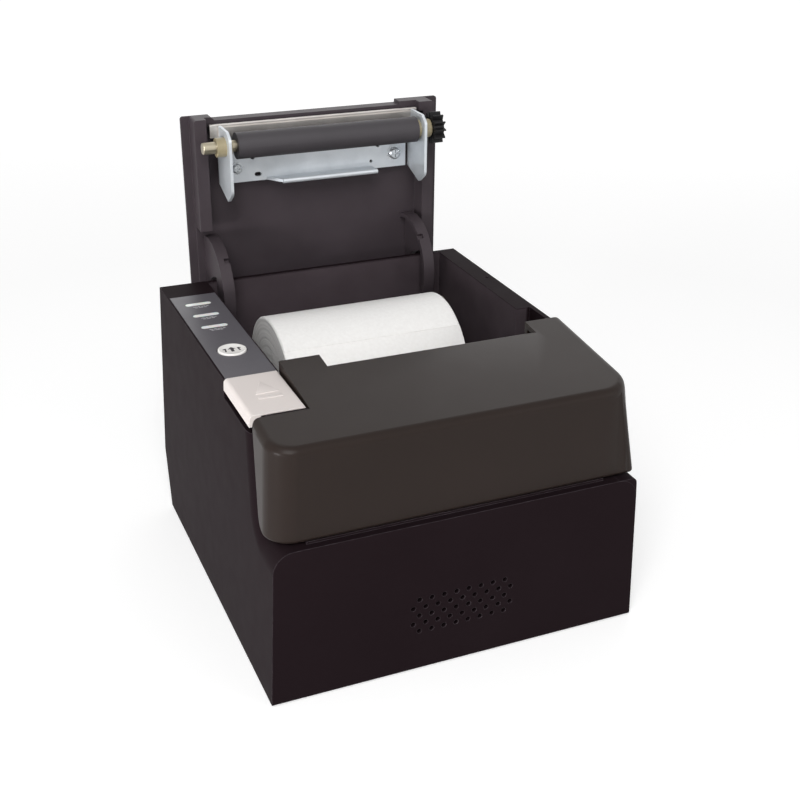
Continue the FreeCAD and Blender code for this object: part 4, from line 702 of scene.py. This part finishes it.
# %% [markdown]
# ## The paper roll
# A roll of paper isn't a plain cylinder: its ends show the edges of the turns, which never lie quite
# level, and the outer turn ends in a cut edge. The profile below runs up one end in small steps, over
# a softened rim, along the paper and down the other end. It is spun without merging, so that the outer
# turn can grow by one sheet on the way round and leave its edge as a real step. The sheet is drawn
# 0.16 mm thick, more than twice the real one, so that the edge shows.

# %% Draw the roll's profile
TURNS = 30  # steps drawn on each end
RIM = 0.8  # the softened rim starts so far inside the outer turn
half_roll = (roll_high.x - roll_low.x) / 2 / MM
outer = (roll_high.z - roll_low.z) / 2 / MM
core_low, core_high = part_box("roll_core")
inner = (core_high.z - core_low.z) / 2 / MM
end_steps = []
for turn in range(TURNS + 1):
    radius = inner + (outer - RIM - inner) * turn / TURNS
    level = 0.10 * math.sin(turn * 2.4) + 0.05 * math.sin(turn * 5.1)
    end_steps.append((half_roll - 0.18 + level, radius))
rim = [(half_roll - 0.3, outer - 0.35), (half_roll - 0.75, outer)]
up_one_end = [(-a, r) for a, r in end_steps + rim]
profile = up_one_end + [(a, r) for a, r in reversed(end_steps + rim)]
print("profile of", len(profile), "points")

# %% Wind the roll
SHEET = 0.16
TAIL_TURN = math.radians(38)  # the cut edge lies this far forward of the top
tail = Vector((0.0, -math.sin(TAIL_TURN), math.cos(TAIL_TURN)))
roll = bmesh.new()
first = [roll.verts.new(roll_centre + (Vector((a, 0, 0)) + tail * r) * MM) for a, r in profile]
edges = [roll.edges.new(pair) for pair in zip(first, first[1:] + first[:1])]
spun = bmesh.ops.spin(
    roll, geom=first + edges, cent=roll_centre, axis=(1, 0, 0), angle=math.tau, steps=144,
    use_merge=False,
)
last = set(spun["geom_last"])
for vert in roll.verts:
    reach = vert.co - roll_centre
    reach.x = 0.0
    if reach.length > (outer - 0.1) * MM:
        turned = math.atan2(tail.cross(reach).x, tail.dot(reach)) % math.tau / math.tau
        share = 1.0 if vert in last else 0.0 if vert in first else turned
        vert.co -= reach.normalized() * SHEET * (1.0 - share) * MM
bmesh.ops.remove_doubles(roll, verts=roll.verts, dist=WELD)
bmesh.ops.holes_fill(roll, edges=roll.edges)
finish_piece(roll, "wound_paper_roll", paper, "roll", ["paper_roll"])

# %% [markdown]
# ## The feed button
# The round button is a turned shape: a stem, a flange that keeps it in its hole, and a cap with a
# shallow dish for the finger. Its place and height are read from the CAD node that it stands for. The
# sign on it is a plain arrow between two bent lines, printed in the dish. The dish is shallower
# towards its rim, so the lines lie a little higher than the arrow.

# %% Turn the feed button
feed_low, feed_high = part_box("feed_button")
feed_top = Vector((
    (feed_low.x + feed_high.x) / 2, (feed_low.y + feed_high.y) / 2, feed_high.z,
))
feed_flange = (feed_high.x - feed_low.x) / 2 / MM
feed_drop = (feed_high.z - feed_low.z) / MM
button = bmesh.new()
lathe(button, [
    (-feed_drop, 0.0), (-feed_drop, 1.7), (0.3 - feed_drop, 2.0), (-4.5, 2.0), (-4.5, feed_flange),
    (-3.3, feed_flange), (-3.3, 5.5), (-0.45, 5.5), (-0.16, 5.38), (-0.03, 5.12), (0.0, 4.85),
    (-0.06, 4.5), (-0.18, 3.9), (-0.30, 2.7), (-0.36, 1.4), (-0.38, 0.0),
], feed_top, (0, 0, 1), steps=64)
finish_piece(
    button, "dished_feed_button", white_abs, "feed_key", ["feed_button"],
)

# %% Print its sign
INK_DEEP = 0.2
ARROW = [(0.0, 2.4), (-1.5, 0.6), (-0.6, 0.6), (-0.6, -1.9), (0.6, -1.9), (0.6, 0.6), (1.5, 0.6)]
BENT = [(3.5, 0.9), (2.2, 1.3), (2.2, 0.6), (2.5, -1.7), (3.1, -1.7), (2.8, 0.5), (3.5, 0.3)]
arrow = bmesh.new()
for drop, outline in (
    (0.31, ARROW),
    (0.20, [(-x, y) for x, y in BENT]),
    (0.20, BENT),
):
    ink = feed_top - Vector((0, 0, (drop + INK_DEEP) * MM))
    corners = [ink + Vector((x, y, 0.0)) * MM for x, y in outline]
    lift(arrow, corners, Vector((0, 0, INK_DEEP * MM)))
finish_piece(arrow, "feed_arrow_print", icon_ink, "feed_key")

# %% [markdown]
# ## Captions under the lamps
# Under each lamp the label has two lines of very small print. Here they are rows of plain dashes, each
# a sliver of ink that stands 0.03 mm above the film.

# %% Print the captions
LAMP_WIDE = 2.6 * MM
DASH_HIGH = 0.5
DASH_GAP = 0.35
ROWS = ((-3.2, -2.8, (1.5, 1.1, 1.8, 1.0)), (-4.3, -2.2, (1.2, 1.7, 1.1)))
lamps_low, lamps_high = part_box("led_light_bars")
lamp_middle = (lamps_low.x + lamps_high.x) / 2
lamp_pitch = (lamps_high.y - lamps_low.y - LAMP_WIDE) / 2
film_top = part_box("control_label")[1].z
captions = bmesh.new()
for lamp_number in range(3):
    lamp_y = lamps_high.y - LAMP_WIDE / 2 - lamp_pitch * lamp_number
    for row, edge, dashes in ROWS:
        for length in dashes:
            corners = [
                Vector((lamp_middle + x * MM, lamp_y + y * MM, film_top - 0.01 * MM))
                for x, y in oblong(edge, row, edge + length, row + DASH_HIGH)
            ]
            lift(captions, corners, Vector((0, 0, 0.04 * MM)))
            edge += length + DASH_GAP
finish_piece(captions, "lamp_caption_dashes", mark_ink, "base")

# %% [markdown]
# ## The sign on the lid release
# The pale button carries a raised sign, the common one for opening: an arrowhead over a bar. Each is a
# flat outline that is lifted to stand 0.3 mm high and then bevelled, so that light catches its rim.

# %% Raise the sign
SIGN_INSET = 9.0  # from the button's inner edge
SIGN_SUNK = 0.05
SIGN_LIFT = 0.35
SIGN_BEVEL = 0.22
push_low, push_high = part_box("push_button")
sign_spot = Vector((
    push_high.x - SIGN_INSET * MM,
    (push_low.y + push_high.y) / 2,
    push_high.z - SIGN_SUNK * MM,
))
sign = bmesh.new()
for outline in ([(-4.4, -1.0), (4.4, -1.0), (0.0, 9.0)], oblong(-4.4, -5.2, 4.4, -3.2)):
    corners = [sign_spot + Vector((x, y, 0.0)) * MM for x, y in outline]
    lift(sign, corners, Vector((0, 0, SIGN_LIFT * MM)))
rims = [edge for edge in sign.edges if all(vert.co.z > push_high.z for vert in edge.verts)]
bmesh.ops.bevel(
    sign, geom=rims, offset=SIGN_BEVEL * MM, segments=3, profile=0.5, affect="EDGES", material=-1,
)
finish_piece(sign, "raised_opening_sign", pale_abs, "release_key")

# %% [markdown]
# ## Screws
# A cross-head screw is a turned pan head with a cross pressed into it. The head is spun with an open
# top, the ring between its rim and the outline of the cross is filled, and the cross is pushed down
# with a little draft. The bracket's two heads differ: the right one is larger, on a wider washer.


# %% A cross-head screw
def cross_head(shape, seat, facing, radius, height):
    """Pan head that sits on a point and faces a direction, with a cross recess."""
    facing = Vector(facing)
    lathe(shape, [
        (0.0, 0.0), (0.0, radius), (0.4 * height, radius), (0.75 * height, 0.9 * radius),
        (height, 0.7 * radius),
    ], seat, facing, steps=40)
    top = seat + facing * height * MM
    across = Vector((1, 0, 0))
    upward = facing.cross(across)
    long, thin = 0.56 * radius, 0.11 * radius
    corners = []
    for quarter in range(4):
        for a, b in ((long, -thin), (long, thin), (thin, thin)):
            corners.append(shape.verts.new(top + (across * a + upward * b) * MM))
        across, upward = upward, -across
    cross = [shape.edges.new(pair) for pair in zip(corners, corners[1:] + corners[:1])]
    bmesh.ops.remove_doubles(shape, verts=shape.verts, dist=WELD)
    rim = [
        edge for edge in shape.edges
        if edge.is_boundary and abs((edge.verts[0].co - top).dot(facing)) < 1e-6
    ]
    bmesh.ops.triangle_fill(shape, edges=rim + cross, use_beauty=True, normal=facing)
    sunk = bmesh.ops.extrude_edge_only(shape, edges=cross)["geom"]
    deep = [item for item in sunk if isinstance(item, bmesh.types.BMVert)]
    bmesh.ops.translate(shape, verts=deep, vec=facing * -0.55 * height * MM)
    bmesh.ops.scale(shape, verts=deep, vec=(0.75, 0.75, 0.75), space=Matrix.Translation(-top))
    floor_edges = [item for item in sunk if isinstance(item, bmesh.types.BMEdge)]
    bmesh.ops.holes_fill(shape, edges=floor_edges)


# %% The bracket's two screws
PLATE = 1.8  # from the screws' front to the bracket's plate
SCREW_INSET = 2.8  # from the end of the pair's box to a screw's axis
WASHER = 0.45  # the right head sits so far off the plate
FORWARD = (0, -1, 0)
screws_low, screws_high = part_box("bracket_screws")
screw_z = (screws_low.z + screws_high.z) / 2
plate_y = screws_low.y + PLATE * MM
left_seat = Vector((screws_low.x + SCREW_INSET * MM, plate_y, screw_z))
right_seat = Vector((screws_high.x - SCREW_INSET * MM, plate_y, screw_z))
heads = bmesh.new()
cross_head(heads, left_seat, FORWARD, 2.2, 1.5)
cross_head(heads, right_seat - Vector((0, WASHER * MM, 0)), FORWARD, 2.7, 1.35)
right_washer = [(0.0, 1.4), (0.0, 3.3), (0.4, 3.3), (0.4, 1.4)]
left_washer = [(0.0, 1.3), (0.0, 2.7), (0.3, 2.6), (0.3, 1.3)]
lathe(heads, right_washer, right_seat, FORWARD, closed=True)
lathe(heads, left_washer, left_seat, FORWARD, closed=True)
finish_piece(heads, "bracket_screw_heads", bright_zinc, "lid", ["bracket_screws"])

# %% [markdown]
# ## Under the casing
# The four feet are turned too: a rounded rim to stand on, and a shallow dish inside it. Beside them
# sit the screws that hold the bottom plate, sunk in their counterbores. Feet and screws stand in the
# corners of a rectangle, so the box round each group gives their places.


# %% Feet
def corners_of(name, inset_mm):
    """The four places of a group of equal round pieces, from the box round them."""
    low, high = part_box(name)
    across = (low.x + inset_mm * MM, high.x - inset_mm * MM)
    deep = (low.y + inset_mm * MM, high.y - inset_mm * MM)
    return [(x, y) for x in across for y in deep]


FOOT_RADIUS = 7.0
foot_low, foot_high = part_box("rubber_feet")
foot_deep = (foot_high.z - foot_low.z) / MM
feet = bmesh.new()
for x, y in corners_of("rubber_feet", FOOT_RADIUS):
    lathe(feet, [
        (foot_deep, 0.0), (foot_deep, FOOT_RADIUS), (0.6, FOOT_RADIUS), (0.28, 6.9), (0.08, 6.66),
        (0.0, 6.3), (0.0, 4.9), (0.1, 4.6), (0.4, 4.2), (0.45, 3.6), (0.45, 0.0),
    ], Vector((x, y, foot_low.z)), (0, 0, 1))
finish_piece(feet, "turned_rubber_feet", foot_rubber, "base", ["rubber_feet"])

# %% Case screws
HEAD_HIGH = 1.5
SHANK_RADIUS = 1.5
TIP = 1.5
CASE_INSET = 2.8  # from the edge of the group's box to a screw's axis
case_low, case_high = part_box("case_screws")
head_seat = case_low.z + HEAD_HIGH * MM
shank = (case_high.z - head_seat) / MM
shank_profile = [(0.0, SHANK_RADIUS), (shank - TIP, SHANK_RADIUS), (shank, 0.0)]
bottom = bmesh.new()
for x, y in corners_of("case_screws", CASE_INSET):
    seat = Vector((x, y, head_seat))
    cross_head(bottom, seat, (0, 0, -1), 2.7, HEAD_HIGH)
    lathe(bottom, shank_profile, seat, (0, 0, 1), steps=24)
finish_piece(bottom, "sunk_case_screws", bright_zinc, "base", ["case_screws"])

# %% [markdown]
# ## Contacts in the rear sockets
# Each socket in the CAD model is an empty shell. A round inlet has a centre pin and a spring leaf, the
# square data socket a tongue with four contacts, and the drawer socket six sloping wires. All are
# measured from the middle of the socket's rear face.


# %% Inlet pin
def rear_middle(low, high):
    """The middle of a box's rear face."""
    return Vector(((low.x + high.x) / 2, high.y, (low.z + high.z) / 2))


inlet_eye = rear_middle(*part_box("power_inlet"))
pin = bmesh.new()
lathe(pin, [
    (-9.3, 0.0), (-9.3, 1.05), (-2.2, 1.05), (-1.7, 0.9), (-1.4, 0.55), (-1.3, 0.0),
], inlet_eye, (0, 1, 0), steps=32)
leaf = [(-9.0, -4.6), (-2.5, -4.6), (-2.5, -4.3), (-5.0, -3.6), (-9.0, -4.3)]
corners = [inlet_eye + Vector((-1.2, y, z)) * MM for y, z in leaf]
lift(pin, corners, Vector((2.4 * MM, 0, 0)))
finish_piece(pin, "inlet_pin_and_leaf", bright_zinc, "base")

# %% Data tongue
usb_eye = rear_middle(*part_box("usb_socket"))
tongue = bmesh.new()
corners = [usb_eye + Vector((x, -9.3, z)) * MM for x, z in oblong(-2.8, -1.6, 2.8, 1.6)]
lift(tongue, corners, Vector((0, 8.0 * MM, 0)))
ends = [edge for edge in tongue.edges if all(v.co.y > usb_eye.y - 2 * MM for v in edge.verts)]
bmesh.ops.bevel(
    tongue, geom=ends, offset=0.4 * MM, segments=2, profile=0.5, affect="EDGES", material=-1,
)
finish_piece(tongue, "data_socket_tongue", plain_black, "base")

# %% Data contacts and drawer wires
WIRES = 6
WIRE_PITCH = 1.02
WIRE_WIDE = 0.4
contacts = bmesh.new()
for x in (-1.3, 1.3):
    for z in (-1.75, 1.55):
        blade = oblong(x - 0.5, -9.0, x + 0.5, -2.2)
        corners = [usb_eye + Vector((a, b, z)) * MM for a, b in blade]
        lift(contacts, corners, Vector((0, 0, 0.2 * MM)))
drawer_eye = rear_middle(*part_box("drawer_socket"))
slope = ((-9.2, 5.0), (-8.7, 5.0), (-2.6, 1.2), (-2.9, 0.9))
for wire in range(WIRES):
    x = WIRE_PITCH * (wire - 2.5) - 0.2
    corners = [drawer_eye + Vector((x, y, z)) * MM for y, z in slope]
    lift(contacts, corners, Vector((WIRE_WIDE * MM, 0, 0)))
finish_piece(contacts, "socket_contacts", contact_gold, "base")

# %% [markdown]
# ## Marks on the power switch
# The two ends of the rocker carry the usual signs, a line for on and a ring for off. They lie on the
# sloping faces and tip with the rocker.

# %% Line and ring
rocker_eye = rear_middle(*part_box("power_rocker"))
marks = bmesh.new()
bar = ((-0.35, 1.2, -0.83), (0.35, 1.2, -0.83), (0.35, 3.6, -0.23), (-0.35, 3.6, -0.23))
corners = [rocker_eye + Vector((x, y, z)) * MM for x, z, y in bar]
lift(marks, corners, Vector((0, 0.08 * MM, 0)))
ring = [(-0.05, 0.8), (0.05, 0.8), (0.05, 1.3), (-0.05, 1.3)]
ring_spot = rocker_eye + Vector((0, -1.35, -2.2)) * MM
tilt = Vector((0, 1, -0.11)).normalized()
lathe(marks, ring, ring_spot, tilt, steps=32, closed=True)
finish_piece(marks, "switch_line_and_ring", white_abs, "rocker")

# %% [markdown]
# ## Floor and light
# The floor is pale paint. A white backdrop is more than lamps at a plain level give, so the floor and
# the world glow a little, but only for rays from the camera, from mirror-like surfaces and through
# clear ones. The bounced light on the printer doesn't grow by it, and the floor still darkens under
# the casing. The key lamp hangs high in front, a little to the left, and a weak fill stands at the
# right. A large soft box stands behind, where the top faces mirror it towards the camera, and a small
# low lamp at the left brightens the side of the cover's left corner. Together they light a level
# surface at about 1, so a colour renders about as it is written.


# %% Rays that see the backdrop
def seen(tree):
    """1 for rays that show the backdrop as it is: camera, glossy and transmission rays."""
    path = add(tree, "ShaderNodeLightPath").outputs
    plain = add(tree, "ShaderNodeMath", {
        0: path["Is Camera Ray"], 1: path["Is Glossy Ray"],
    }, operation="MAXIMUM")
    clear = {0: plain.outputs["Value"], 1: path["Is Transmission Ray"]}
    return add(tree, "ShaderNodeMath", clear, operation="MAXIMUM").outputs["Value"]


# %% Make the floor
floor_mesh = bmesh.new()
bmesh.ops.create_grid(floor_mesh, x_segments=2, y_segments=2, size=2.0)
floor_data = bpy.data.meshes.new("floor")
floor_mesh.to_mesh(floor_data)
floor_mesh.free()
floor = bpy.data.objects.new("floor", floor_data)
scene.collection.objects.link(floor)
floor_paint, tree, shader, place = new_finish(
    "studio_floor_paint", Roughness=0.9, Specular_IOR_Level=0.0,
)
shader.inputs["Base Color"].default_value = linear("#e6e6e6")
shader.inputs["Emission Color"].default_value = (1.0, 1.0, 1.0, 1.0)
reach = add(tree, "ShaderNodeVectorMath", {0: place}, operation="LENGTH").outputs["Value"]
rising = add(tree, "ShaderNodeMapRange", {
    "Value": reach, "From Min": 0.4, "From Max": 1.6, "To Min": 0.36, "To Max": 0.7,
})
glow = add(tree, "ShaderNodeMath", {
    0: rising.outputs["Result"], 1: seen(tree),
}, operation="MULTIPLY")
tree.links.new(glow.outputs["Value"], shader.inputs["Emission Strength"])
floor_data.materials.append(floor_paint)
print("floor painted with", floor_paint.name)


# %% Hang the lamps
def lamp(name, place_mm, aim_mm, watts, wide_mm, high_mm):
    """A soft box that faces a point."""
    data = bpy.data.lights.new(name, "AREA")
    data.shape = "RECTANGLE"
    data.energy = watts
    data.size = wide_mm * MM
    data.size_y = high_mm * MM
    made = bpy.data.objects.new(name, data)
    made.location = Vector(place_mm) * MM
    aim = Vector(aim_mm) * MM - made.location
    made.rotation_euler = aim.to_track_quat("-Z", "Y").to_euler()
    scene.collection.objects.link(made)


lamp("key_lamp", (-450, -900, 1000), (0, 0, 60), watts=13.0, wide_mm=700, high_mm=700)
lamp("rear_lamp", (500, 1100, 800), (0, 0, 90), watts=3.0, wide_mm=1200, high_mm=800)
lamp("left_lamp", (-900, -420, 95), (-60, -80, 80), watts=5.0, wide_mm=160, high_mm=170)
lamp("fill_lamp", (900, -900, 500), (0, 0, 60), watts=2.0, wide_mm=800, high_mm=800)
print("lamps:", [light.name for light in bpy.data.lights])

# %% Light the world
world = bpy.data.worlds.new("studio")
world.use_nodes = True
scene.world = world
tree = world.node_tree
sky = tree.nodes["Background"]
sky.inputs["Color"].default_value = (1.0, 1.0, 1.0, 1.0)
level = add(tree, "ShaderNodeMapRange", {"Value": seen(tree), "To Min": 0.35, "To Max": 1.0})
tree.links.new(level.outputs["Result"], sky.inputs["Strength"])
print("world:", world.name)
